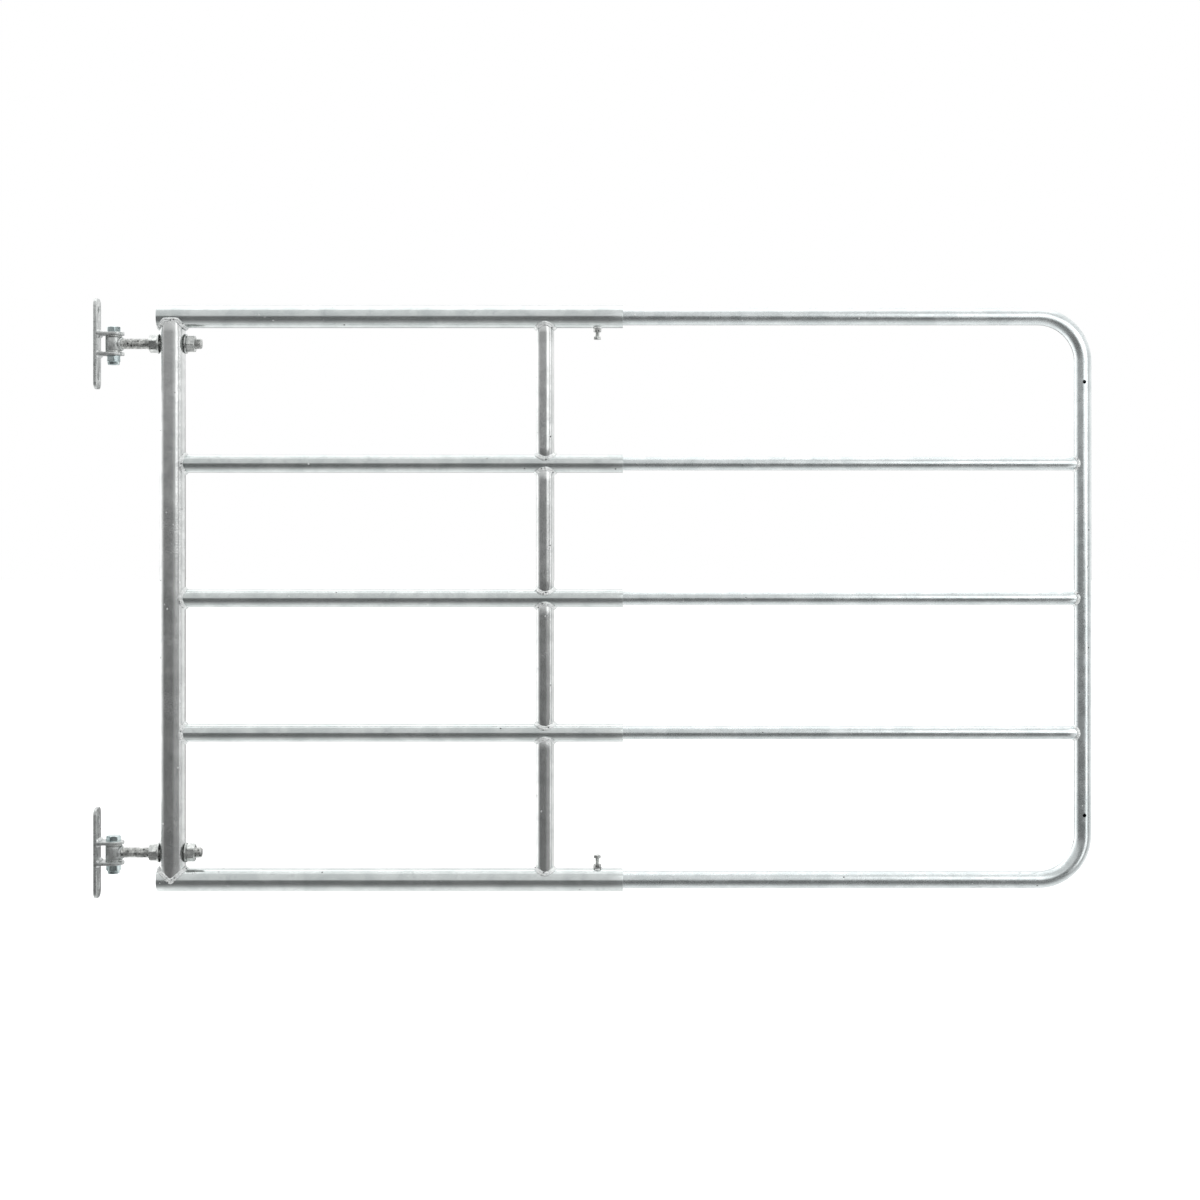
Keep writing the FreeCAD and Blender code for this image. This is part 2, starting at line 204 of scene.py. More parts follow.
class ShaderSheet(NodeSheet):
    """Builds one material."""

    def __init__(self, name: str) -> None:
        """Start an empty material.

        Args:
            name: name of the material.
        """
        self.material = bpy.data.materials.new(name)
        self.material.use_nodes = True
        super().__init__(self.material.node_tree)
        self.tree.nodes.clear()

    def place(self, turn: Optional[Vector] = None, stretch: Optional[Vector] = None) -> bpy.types.NodeSocket:
        """Object coordinates, turned and stretched if asked.

        Args:
            turn: rotation in radians.
            stretch: scale along each axis.

        Returns:
            The vector socket.
        """
        coordinates = self.add("ShaderNodeTexCoord").outputs["Object"]
        if turn is None and stretch is None:
            return coordinates
        mapping = self.add("ShaderNodeMapping")
        self.feed(mapping.inputs["Vector"], coordinates)
        mapping.inputs["Rotation"].default_value = turn or Vector((0.0, 0.0, 0.0))
        mapping.inputs["Scale"].default_value = stretch or Vector((1.0, 1.0, 1.0))
        return mapping.outputs["Vector"]

    def noise(self, where: bpy.types.NodeSocket, scale: float, detail: float = 3.0,
              rough: float = 0.55, twist: float = 0.0) -> bpy.types.NodeSocket:
        """Noise between 0 and 1.

        Args:
            where: coordinates.
            scale: features per metre.
            detail: octaves.
            rough: share of the fine octaves.
            twist: distortion.

        Returns:
            The factor socket.
        """
        node = self.add("ShaderNodeTexNoise")
        self.feed(node.inputs["Vector"], where)
        node.inputs["Scale"].default_value = scale
        node.inputs["Detail"].default_value = detail
        node.inputs["Roughness"].default_value = rough
        node.inputs["Distortion"].default_value = twist
        return node.outputs["Fac"]

    def cells(self, where: bpy.types.NodeSocket, scale: float) -> bpy.types.Node:
        """Voronoi cells, with their distance and random colour.

        Args:
            where: coordinates.
            scale: cells per metre.

        Returns:
            The Voronoi node.
        """
        node = self.add("ShaderNodeTexVoronoi")
        self.feed(node.inputs["Vector"], where)
        node.inputs["Scale"].default_value = scale
        return node

    def channel(self, colour: bpy.types.NodeSocket, name: str) -> bpy.types.NodeSocket:
        """One channel of a colour.

        Args:
            colour: colour socket.
            name: Red, Green or Blue.

        Returns:
            The channel's socket.
        """
        node = self.add("ShaderNodeSeparateColor")
        self.feed(node.inputs["Color"], colour)
        return node.outputs[name]

    def blend(self, share: bpy.types.NodeSocket, first: object, second: object) -> bpy.types.NodeSocket:
        """Mix two colours.

        Args:
            share: how much of the second colour shows.
            first: colour or socket.
            second: colour or socket.

        Returns:
            The colour socket.
        """
        node = self.add("ShaderNodeMix", data_type="RGBA")
        self.feed(node.inputs["Factor"], share)
        for socket, value in ((node.inputs[6], first), (node.inputs[7], second)):
            self.feed(socket, value if isinstance(value, bpy.types.NodeSocket) else (*value, 1.0))
        return node.outputs[2]

    def bump(self, height: bpy.types.NodeSocket, depth: float,
             under: Optional[bpy.types.NodeSocket] = None) -> bpy.types.NodeSocket:
        """Bump node whose height from 0 to 1 stands for a depth in metres.

        Args:
            height: height socket.
            depth: metres between 0 and 1.
            under: normal that this bump is laid on.

        Returns:
            The normal socket.
        """
        node = self.add("ShaderNodeBump")
        node.inputs["Strength"].default_value = 1.0
        node.inputs["Distance"].default_value = depth
        self.feed(node.inputs["Height"], height)
        if under is not None:
            self.feed(node.inputs["Normal"], under)
        return node.outputs["Normal"]

    def finish(self, colour: bpy.types.NodeSocket, roughness: bpy.types.NodeSocket,
               normal: bpy.types.NodeSocket, **plain: float) -> bpy.types.Material:
        """Join everything to one principled shader.

        Args:
            colour: base colour socket.
            roughness: roughness socket.
            normal: normal socket.
            **plain: numbers for other sockets, named with underscores for spaces.

        Returns:
            The material.
        """
        shader = self.add("ShaderNodeBsdfPrincipled")
        output = self.add("ShaderNodeOutputMaterial")
        self.feed(shader.inputs["Base Color"], colour)
        self.feed(shader.inputs["Roughness"], roughness)
        self.feed(shader.inputs["Normal"], normal)
        for key, number in plain.items():
            shader.inputs[key.replace("_", " ")].default_value = number
        self.feed(output.inputs["Surface"], shader.outputs["BSDF"])
        return self.material


@dataclass(frozen=True)
class ZincFinish:
    """Zinc coat: mottled colour, leathery skin, pits and scuffs. Scales are per metre, depths in metres."""

    name: str
    light: Colour = (0.78, 0.82, 0.815)
    dull: Colour = (0.655, 0.70, 0.695)
    stain: Colour = (0.47, 0.50, 0.50)
    pit: Colour = (0.10, 0.10, 0.10)
    metallic: float = 0.92
    roughness: Span = (0.10, 0.19)
    patch_scale: float = 22.0
    spangle_scale: float = 130.0
    spangle_share: float = 0.25
    stain_share: float = 0.30
    wave_scale: float = 45.0
    wave_depth: float = 0.07 * MM
    grain_scale: float = 420.0
    grain_depth: float = 0.07 * MM
    pit_scale: float = 75.0
    pit_size: float = 0.16
    pit_share: float = 0.05
    pit_depth: float = 0.5 * MM
    scuff_share: float = 0.0
    scuff_turn: float = 45.0
    scuff_scale: float = 60.0
    scuff_stretch: float = 9.0
    scuff_patch_scale: float = 9.0
    stain_fineness: float = 3.1
    sheen_fineness: float = 2.2
    patch_limits: Span = (0.36, 0.66)
    stain_limits: Span = (0.52, 0.74)
    sheen_limits: Span = (0.34, 0.68)
    scuff_limits: Span = (0.56, 0.70)
    scuff_patch_limits: Span = (0.48, 0.62)
    pit_core: float = 0.45
    grain_dulling: float = 0.08
    pit_dulling: float = 0.3
    scuff_dulling: float = 0.15

    def make(self) -> bpy.types.Material:
        """Build the material.

        Returns:
            The finished material.
        """
        sheet = ShaderSheet(self.name)
        where = sheet.place()
        patches = sheet.span(sheet.noise(where, self.patch_scale, 4.0, 0.6, 0.4), *self.patch_limits)
        colour = sheet.blend(patches, self.light, self.dull)
        tone = sheet.channel(sheet.cells(where, self.spangle_scale).outputs["Color"], "Red")
        colour = sheet.blend(sheet.maths("MULTIPLY", tone, self.spangle_share), colour, self.dull)
        stains = sheet.noise(where, self.stain_fineness * self.patch_scale, 5.0, 0.65, 0.8)
        stains = sheet.maths("MULTIPLY", sheet.span(stains, *self.stain_limits), self.stain_share)
        colour = sheet.blend(stains, colour, self.stain)

        pits = sheet.cells(where, self.pit_scale)
        draw = sheet.channel(pits.outputs["Color"], "Green")
        chosen = sheet.maths("GREATER_THAN", draw, 1.0 - self.pit_share)
        hollow = sheet.span(pits.outputs["Distance"], self.pit_core * self.pit_size, self.pit_size, 1.0, 0.0)
        hollow = sheet.maths("MULTIPLY", hollow, chosen)
        colour = sheet.blend(hollow, colour, self.pit)

        grain = sheet.noise(where, self.grain_scale, 3.0, 0.6)
        sheen = sheet.noise(where, self.sheen_fineness * self.patch_scale, 4.0, 0.6)
        rough = sheet.span(sheen, *self.sheen_limits, *self.roughness)
        rough = sheet.maths("ADD", rough, sheet.maths("MULTIPLY", grain, self.grain_dulling))
        rough = sheet.maths("ADD", rough, sheet.maths("MULTIPLY", hollow, self.pit_dulling))
        normal = sheet.bump(sheet.noise(where, self.wave_scale, 2.0, 0.5, 0.3), self.wave_depth)
        normal = sheet.bump(grain, self.grain_depth, normal)
        normal = sheet.bump(sheet.maths("SUBTRACT", 1.0, hollow), self.pit_depth, normal)
        if self.scuff_share > 0.0:
            turn = Vector((0.0, math.radians(self.scuff_turn), 0.0))
            slant = sheet.place(turn, Vector((1.0, 1.0, self.scuff_stretch)))
            scuffs = sheet.span(sheet.noise(slant, self.scuff_scale, 3.0, 0.6), *self.scuff_limits)
            patchy = sheet.span(sheet.noise(where, self.scuff_patch_scale, 2.0), *self.scuff_patch_limits)
            scuffs = sheet.maths("MULTIPLY", sheet.maths("MULTIPLY", scuffs, patchy), self.scuff_share)
            colour = sheet.blend(scuffs, colour, self.stain)
            rough = sheet.maths("ADD", rough, sheet.maths("MULTIPLY", scuffs, self.scuff_dulling))
        return sheet.finish(colour, rough, normal, Metallic=self.metallic)


@dataclass(frozen=True)
class NylonFinish:
    """Slightly cloudy nylon with fine moulding marks."""

    name: str
    body: Colour = (0.55, 0.60, 0.66)
    cloud: Colour = (0.70, 0.74, 0.78)

    def make(self) -> bpy.types.Material:
        """Build the material.

        Returns:
            The finished material.
        """
        sheet = ShaderSheet(self.name)
        where = sheet.place()
        colour = sheet.blend(sheet.span(sheet.noise(where, 260.0), 0.35, 0.65), self.body, self.cloud)
        rough = sheet.span(sheet.noise(where, 700.0), 0.3, 0.7, 0.35, 0.55)
        normal = sheet.bump(sheet.noise(where, 900.0), 0.05 * MM)
        return sheet.finish(colour, rough, normal, Metallic=0.0, IOR=1.53)


class Finishes:
    """Every finish of the gate, made once."""

    def __init__(self) -> None:
        """Make all materials."""
        self.tube = ZincFinish("zinc_on_sleeve_tube", scuff_share=0.3).make()
        self.upright = ZincFinish("zinc_on_upright_tube", light=(0.80, 0.815, 0.81), dull=(0.66, 0.675, 0.67),
                                  grain_depth=0.13 * MM, scuff_share=0.7, stain_share=0.4).make()
        self.sliding = ZincFinish("zinc_on_sliding_tube", light=(0.815, 0.86, 0.865),
                                  dull=(0.68, 0.73, 0.735), roughness=(0.16, 0.28), wave_depth=0.08 * MM,
                                  scuff_share=0.75, pit_share=0.03).make()
        self.weld = ZincFinish("zinc_on_weld", light=(0.93, 0.95, 0.94), dull=(0.68, 0.70, 0.70),
                               stain=(0.26, 0.27, 0.27), metallic=0.62, roughness=(0.20, 0.38),
                               patch_scale=120.0, wave_scale=260.0, wave_depth=0.8 * MM,
                               pit_scale=170.0, pit_size=0.36, pit_share=0.32).make()
        self.bracket = ZincFinish("zinc_on_bracket", light=(0.74, 0.765, 0.755), dull=(0.52, 0.54, 0.535),
                                  stain=(0.33, 0.35, 0.35), metallic=0.9, roughness=(0.22, 0.38),
                                  patch_scale=60.0, wave_scale=120.0, wave_depth=0.35 * MM,
                                  grain_depth=0.12 * MM, stain_share=0.7, pit_share=0.12).make()
        self.fastener = ZincFinish("zinc_on_fastener", light=(0.80, 0.82, 0.80), dull=(0.52, 0.54, 0.53),
                                   stain=(0.28, 0.29, 0.28), metallic=0.92, roughness=(0.18, 0.32),
                                   patch_scale=90.0, wave_scale=200.0, wave_depth=0.22 * MM,
                                   grain_depth=0.10 * MM, stain_share=0.6, pit_share=0.12).make()
        self.burnt = ZincFinish("zinc_on_welded_nut", light=(0.62, 0.63, 0.62), dull=(0.34, 0.35, 0.34),
                                stain=(0.14, 0.14, 0.14), metallic=0.9, roughness=(0.20, 0.34),
                                patch_scale=130.0, wave_scale=220.0, wave_depth=0.5 * MM, stain_share=0.9,
                                pit_scale=170.0, pit_size=0.36, pit_share=0.25).make()
        self.thread = ZincFinish("zinc_on_thread", light=(0.80, 0.81, 0.79), dull=(0.42, 0.43, 0.42),
                                 stain=(0.20, 0.20, 0.19), metallic=0.9, roughness=(0.20, 0.36),
                                 patch_scale=110.0, wave_scale=240.0, wave_depth=0.5 * MM,
                                 grain_depth=0.15 * MM, stain_share=0.9, pit_scale=150.0, pit_size=0.42,
                                 pit_share=0.34).make()
        self.bolt = ZincFinish("bright_zinc_plate", light=(0.70, 0.79, 0.79), dull=(0.48, 0.57, 0.585),
                               stain=(0.34, 0.41, 0.42), metallic=0.97, roughness=(0.10, 0.22),
                               patch_scale=60.0, wave_scale=160.0, wave_depth=0.08 * MM,
                               grain_depth=0.04 * MM, pit_share=0.02, spangle_share=0.1).make()
        self.nylon = NylonFinish("cloudy_nylon").make()


# ---------------------------------------------------------------- mesh making
@dataclass
class Station:
    """One ring of a loft.

    Attributes:
        centre: middle of the ring.
        along: direction of the path there.
        radius: radius, or one for each angle.
        slide: shift along the path, or one for each angle.
        run: length along the path, for the piece's UV map.
    """

    centre: Vector
    along: Vector
    radius: Amount
    slide: Amount = 0.0
    run: float = 0.0


@dataclass
class Loft:
    """Closed mesh through rings that share one set of angles, from the front round the back."""

    segments: int = 96
    first_angle: float = -math.pi

    @property
    def angles(self) -> np.ndarray:
        """Angles of the ring's points, from the front."""
        return self.first_angle + np.arange(self.segments) * 2.0 * math.pi / self.segments

    @staticmethod
    def side(along: Vector) -> Vector:
        """Direction a quarter turn from the front, square to the path."""
        return FRONT.cross(along)

    def ring(self, station: Station) -> np.ndarray:
        """Points of one ring.

        Args:
            station: the ring.

        Returns:
            Array of shape (segments, 3).
        """
        angles = self.angles
        radius = np.broadcast_to(station.radius, angles.shape)
        slide = np.broadcast_to(station.slide, angles.shape)
        front, side = np.array(FRONT), np.array(self.side(station.along))
        spread = np.outer(np.cos(angles) * radius, front) + np.outer(np.sin(angles) * radius, side)
        return np.array(station.centre) + spread + np.outer(slide, np.array(station.along))

    def mesh(self, name: str, stations: Sequence[Station], hollow: bool) -> bpy.types.Mesh:
        """Join the rings.

        Args:
            name: name of the mesh.
            stations: rings in order.
            hollow: true if the last ring joins the first; else both ends get a cap.

        Returns:
            Closed mesh with its faces outwards.
        """
        rings = np.array([self.ring(station) for station in stations])
        count, segments = rings.shape[0], self.segments
        girth = max(float(np.max(station.radius)) for station in stations)
        turn = (self.angles - self.first_angle) * girth
        turn = np.append(turn, 2.0 * math.pi * girth)
        slides = [np.broadcast_to(station.slide, (segments,)) for station in stations]
        runs = [station.run + np.append(slide, slide[0]) for station, slide in zip(stations, slides)]
        faces: List[Tuple[int, ...]] = []
        marks: List[Tuple[float, float]] = []
        for row in range(count if hollow else count - 1):
            after = (row + 1) % count
            for column in range(segments):
                right = (column + 1) % segments
                faces.append((row * segments + column, row * segments + right,
                              after * segments + right, after * segments + column))
                marks += [(runs[row][column], turn[column]), (runs[row][column + 1], turn[column + 1]),
                          (runs[after][column + 1], turn[column + 1]), (runs[after][column], turn[column])]
        if not hollow:
            for row, order in ((0, range(segments - 1, -1, -1)), (count - 1, range(segments))):
                face = tuple(row * segments + column for column in order)
                faces.append(face)
                marks += [(float(rings[row][index % segments][0]), float(rings[row][index % segments][2]))
                          for index in face]
        mesh = bpy.data.meshes.new(name)
        mesh.from_pydata(rings.reshape(-1, 3).tolist(), [], faces)
        layer = mesh.uv_layers.new(name="UVMap")
        layer.data.foreach_set("uv", np.array(marks, np.float32).ravel())
        return tidy_mesh(mesh)


def tidy_mesh(mesh: bpy.types.Mesh) -> bpy.types.Mesh:
    """Merge doubles, turn faces outwards and smooth all but the sharp edges.

    Args:
        mesh: closed mesh.

    Returns:
        The same mesh.
    """
    work = bmesh.new()
    work.from_mesh(mesh)
    bmesh.ops.remove_doubles(work, verts=work.verts, dist=1e-7)
    bmesh.ops.recalc_face_normals(work, faces=work.faces)
    work.to_mesh(mesh)
    work.free()
    mesh.shade_smooth()
    mesh.set_sharp_from_angle(angle=SMOOTH_ANGLE)
    mesh.update()
    return mesh


def add_piece(name: str, mesh: bpy.types.Mesh, body: Body, finish: bpy.types.Material,
              stands_for: Iterable[str] = ()) -> bpy.types.Object:
    """Put a finished mesh in the scene, parent it to its body's empty and hide the frame nodes it replaces.

    Args:
        name: name of the piece.
        mesh: final mesh, with its place in its points.
        body: body it rides on.
        finish: material.
        stands_for: frame nodes that it replaces.

    Returns:
        The new object.
    """
    mesh.name = name
    mesh.materials.clear()
    mesh.materials.append(finish)
    piece = bpy.data.objects.new(name, mesh)
    bpy.context.scene.collection.objects.link(piece)
    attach(piece, body.value)
    nodes = list(stands_for)
    if nodes:
        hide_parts(*nodes)
    return piece


def evaluated_copy(thing: bpy.types.Object) -> bpy.types.Mesh:
    """Plain mesh of an object as its modifiers leave it; the object is removed.

    Args:
        thing: object to convert.

    Returns:
        The new mesh.
    """
    depsgraph = bpy.context.evaluated_depsgraph_get()
    mesh = bpy.data.meshes.new_from_object(thing.evaluated_get(depsgraph), depsgraph=depsgraph)
    bpy.data.objects.remove(thing)
    return mesh


def joined(meshes: Sequence[bpy.types.Mesh]) -> bpy.types.Mesh:
    """One mesh from several, none of them merged with another.

    Args:
        meshes: meshes to join.

    Returns:
        The joined mesh.
    """
    work = bmesh.new()
    for mesh in meshes:
        work.from_mesh(mesh)
    whole = bpy.data.meshes.new("joined")
    work.to_mesh(whole)
    work.free()
    whole.shade_smooth()
    whole.set_sharp_from_angle(angle=SMOOTH_ANGLE)
    return whole


def drilled(mesh: bpy.types.Mesh, drills: Sequence[bpy.types.Mesh]) -> bpy.types.Mesh:
    """Cut drill bodies out of a mesh.

    Args:
        mesh: closed mesh.
        drills: closed meshes to take away.

    Returns:
        The cut mesh.
    """
    work = bpy.data.objects.new("work", mesh)
    bpy.context.scene.collection.objects.link(work)
    tools = []
    for drill in drills:
        tool = bpy.data.objects.new("drill", drill)
        bpy.context.scene.collection.objects.link(tool)
        cut = work.modifiers.new("cut", "BOOLEAN")
        cut.operation, cut.solver, cut.object = "DIFFERENCE", "EXACT", tool
        tools.append(tool)
    bpy.context.view_layer.update()
    result = evaluated_copy(work)
    for tool in tools:
        bpy.data.objects.remove(tool)
    result.shade_smooth()
    result.set_sharp_from_angle(angle=SMOOTH_ANGLE)
    return result


def bar_mesh(name: str, start: Vector, along: Vector, length: float, radius: float,
             segments: int = 48) -> bpy.types.Mesh:
    """Plain round bar, used as a drill.

    Args:
        name: name of the mesh.
        start: centre of one end.
        along: direction.
        length: length of the bar.
        radius: radius of the bar.
        segments: points round it.

    Returns:
        The bar's mesh.
    """
    loft = Loft(segments)
    if abs(along.y) > 0.5:
        bar = loft.mesh(name, [Station(Vector((0, 0, 0)), UPRIGHT, radius),
                               Station(Vector((0, 0, length)), UPRIGHT, radius)], False)
        turn = UPRIGHT.rotation_difference(along).to_matrix().to_4x4()
        bar.transform(turn)
        for vertex in bar.vertices:
            vertex.co += start
        return bar
    ends = [Station(start, along, radius), Station(start + along * length, along, radius)]
    return loft.mesh(name, ends, False)


def quarter_round(size: float, steps: int = 3) -> List[Tuple[float, float]]:
    """Points of a rounded edge, from the end face to the side.

    Args:
        size: radius of the rounding.
        steps: number of points after the first.

    Returns:
        Pairs of (inset from the end face, cut from the side's radius).
    """
    points = []
    for step in range(steps + 1):
        angle = 0.5 * math.pi * step / steps
        points.append((size * (1.0 - math.cos(angle)), size * (1.0 - math.sin(angle))))
    return points


@dataclass(frozen=True)
class Saddle:
    """Where one round tube meets another at a right angle.

    Attributes:
        branch_radius: outside radius of the tube that is cut.
        main_radius: outside radius of the tube it meets.
        bite: how deep the cut is made, as a share of the branch's own radius.
        arch: if set, the cut is a plain arch; 1 is pointed, more is rounder at its top.
        floor: least distance from the main tube's centreline.
    """

    branch_radius: float
    main_radius: float
    bite: float = 1.0
    arch: Optional[float] = None
    floor: float = 0.0

    def drop(self, radius: float, cosines: np.ndarray) -> np.ndarray:
        """Distance from the main tube's centreline to the cut.

        Args:
            radius: radius on the branch, outside or inside.
            cosines: cosine of each point's angle from the front.

        Returns:
            One distance for each point.
        """
        if self.arch is not None:
            sines = np.sqrt(np.clip(1.0 - cosines ** 2, 0.0, 1.0))
            depth = self.main_radius * sines ** self.arch
        else:
            across = self.bite * radius * cosines
            depth = np.sqrt(np.clip(self.main_radius ** 2 - across ** 2, 0.0, None))
        return np.maximum(depth, self.floor)

    def seam(self, crossing: Vector, along: Vector, spread: float = 0.0,
             steps: int = 180) -> List[List[Vector]]:
        """Seam round the branch, as one run or as two side by side.

        Args:
            crossing: where the two centrelines meet.
            along: direction of the branch, away from the main tube.
            spread: how far the two runs lie from the corner; with none there is one run.
            steps: number of points in a run.

        Returns:
            The points of each run, in order round the branch.
        """
        side = Loft.side(along)
        on_branch, on_main = [], []
        for angle in np.linspace(0.0, 2.0 * math.pi, steps, endpoint=False):
            cosine, sine = math.cos(angle), math.sin(angle)
            drop = float(self.drop(self.branch_radius, np.array([cosine]))[0])
            reach = self.branch_radius * cosine
            level = math.sqrt(max(self.main_radius ** 2 - drop ** 2, 0.0))
            reach = math.copysign((abs(reach) + min(level, abs(reach))) / 2.0, reach)
            point = crossing + along * drop + FRONT * reach + side * (self.branch_radius * sine)
            down = FRONT * math.copysign(drop, reach) - along * abs(reach)
            away = down.normalized() * abs(cosine) + side * sine
            on_branch.append(point + along * spread)
            on_main.append(point + away * spread)
        return [on_branch, on_main] if spread > 0.0 else [on_branch]


@dataclass
class TubeRun:
    """A tube along a path, with a wall, softened rims and cut ends.

    Attributes:
        path: points and directions along the centreline.
        radius: outside radius.
        wall: wall thickness.
        start_cut: saddle that cuts the start, if any.
        end_cut: saddle that cuts the end, if any.
        rim: rounding of the outer rim.
    """

    path: Sequence[Tuple[Vector, Vector]]
    radius: float
    wall: float
    start_cut: Optional[Saddle] = None
    end_cut: Optional[Saddle] = None
    rim: float = 0.6 * MM

    @staticmethod
    def straight(start: Vector, end: Vector, spacing: float = 30.0 * MM) -> List[Tuple[Vector, Vector]]:
        """Evenly spaced points on a straight line.

        Args:
            start: first point.
            end: last point.
            spacing: distance between points, about.

        Returns:
            Pairs of point and direction.
        """
        reach = end - start
        count = max(2, int(reach.length / spacing) + 1)
        along = reach.normalized()
        return [(start + reach * (step / (count - 1)), along) for step in range(count)]

    def build(self, name: str, segments: int = 96) -> bpy.types.Mesh:
        """Make the tube's mesh.

        Args:
            name: name of the mesh.
            segments: points round the tube.

        Returns:
            Closed mesh of the tube.
        """
        loft = Loft(segments)
        cosines = np.cos(loft.angles)
        inner = self.radius - self.wall
        runs = [0.0]
        for before, after in zip(self.path, self.path[1:]):
            runs.append(runs[-1] + (after[0] - before[0]).length)

        def face(at_start: bool, size: float, inset: float) -> Station:
            """Ring of one end of the tube.

            Args:
                at_start: whether it is the start of the path, not the end.
                size: radius of the ring.
                inset: distance in from the cut.

            Returns:
                The station of the ring.
            """
            point, along = self.path[0 if at_start else -1]
            cut = self.start_cut if at_start else self.end_cut
            slide = (cut.drop(size, cosines) if cut else 0.0) + inset
            return Station(point, along, size, slide if at_start else -slide, 0.0 if at_start else runs[-1])

        outer_rim, inner_rim = quarter_round(self.rim), quarter_round(0.5 * self.rim, 2)
        middle = list(zip(self.path, runs))[1:-1]
        stations = [face(True, self.radius - cut, inset) for inset, cut in outer_rim]
        stations += [Station(point, along, self.radius, 0.0, run) for (point, along), run in middle]
        stations += [face(False, self.radius - cut, inset) for inset, cut in reversed(outer_rim)]
        stations += [face(False, inner + cut, inset) for inset, cut in inner_rim]
        stations += [Station(point, along, inner, 0.0, run) for (point, along), run in reversed(middle)]
        stations += [face(True, inner + cut, inset) for inset, cut in reversed(inner_rim)]
        return loft.mesh(name, stations, True)


@dataclass(frozen=True)
class HexagonShape:
    """Hexagon bar with chamfered corners."""

    flats: float
    height: float
    face_share: float = 0.95
    chamfer_angle: float = 30.0
    edge: float = 0.35 * MM
    corner_wear: float = 0.985

    def outline(self, angles: np.ndarray) -> np.ndarray:
        """Distance from the axis to the flats, with slightly worn corners.

        Args:
            angles: angles from a corner.

        Returns:
            One radius for each angle.
        """
        folded = (angles + math.pi / 6.0) % (math.pi / 3.0) - math.pi / 6.0
        sides = 0.5 * self.flats / np.cos(math.pi / 6.0 - np.abs(folded))
        return np.minimum(sides, self.flats / math.sqrt(3.0) * self.corner_wear)

    def levels(self, low: bool, high: bool, steps: int = 7) -> List[Tuple[float, float]]:
        """Heights and limiting radii up the bar.

        Args:
            low: chamfer the lower corners.
            high: chamfer the upper corners.
            steps: rings in each chamfer.

        Returns:
            Pairs of (height, greatest radius there).
        """
        corner = self.flats / math.sqrt(3.0)
        face = self.face_share * self.flats / 2.0
        slope = math.tan(math.radians(self.chamfer_angle))
        rise = (corner - face) * slope
        cone = [(0.0, face - self.edge)]
        cone += [(rise * step / steps, face + (corner - face) * step / steps) for step in range(steps + 1)]
        plain = [(0.0, corner - self.edge), (self.edge, corner)]
        lower = cone if low else plain
        upper = [(self.height - height, radius) for height, radius in reversed(cone if high else plain)]
        return lower + upper


@dataclass
class TurnedPart:
    """A part turned about one axis: rings of (distance along the axis, radius or hexagon limit)."""

    start: Vector
    along: Vector
    corner: float = 0.0
    segments: int = 120

    def __post_init__(self) -> None:
        """Line the ring's points up with the hexagon's first corner."""
        if abs(self.along.z) > 0.5:
            ahead = Vector((math.cos(self.corner), math.sin(self.corner), 0.0))
        else:
            ahead = FRONT * math.cos(self.corner) + UPRIGHT * math.sin(self.corner)
        side = Loft.side(self.along)
        self.loft = Loft(self.segments, math.atan2(ahead.dot(side), ahead.dot(FRONT)))
        self.from_corner = self.loft.angles - self.loft.first_angle

    def ring(self, distance: float, radius: float, shape: Optional[HexagonShape] = None) -> Station:
        """One ring of the part.

        Args:
            distance: distance from the start.
            radius: radius, or the greatest radius of the hexagon.
            shape: hexagon whose flats limit the ring, if any.

        Returns:
            The ring.
        """
        size: Amount = radius
        if shape is not None:
            size = np.minimum(shape.outline(self.from_corner), radius)
        return Station(self.start + self.along * distance, self.along, size, 0.0, distance)

    def build(self, name: str, rings: Sequence[Station], hollow: bool) -> bpy.types.Mesh:
        """Join the rings into a mesh."""
        return self.loft.mesh(name, rings, hollow)


def washer_mesh(name: str, start: Vector, along: Vector, thickness: float, radius: float, bore: float,
                edge: float = 0.4 * MM, segments: int = 72) -> bpy.types.Mesh:
    """Flat ring with softened edges.

    Args:
        name: name of the mesh.
        start: centre of the first face.
        along: direction through the ring.
        thickness: thickness.
        radius: outside radius.
        bore: bore radius.
        edge: rounding of the outer edges.
        segments: points round the ring.

    Returns:
        Closed mesh.
    """
    part = TurnedPart(start, along, 0.0, segments)
    rings = [part.ring(inset, radius - cut) for inset, cut in quarter_round(edge)]
    rings += [part.ring(thickness - inset, radius - cut) for inset, cut in reversed(quarter_round(edge))]
    rings += [part.ring(thickness - inset, bore + cut) for inset, cut in quarter_round(0.5 * edge, 2)]
    rings += [part.ring(inset, bore + cut) for inset, cut in reversed(quarter_round(0.5 * edge, 2))]
    return part.build(name, rings, True)


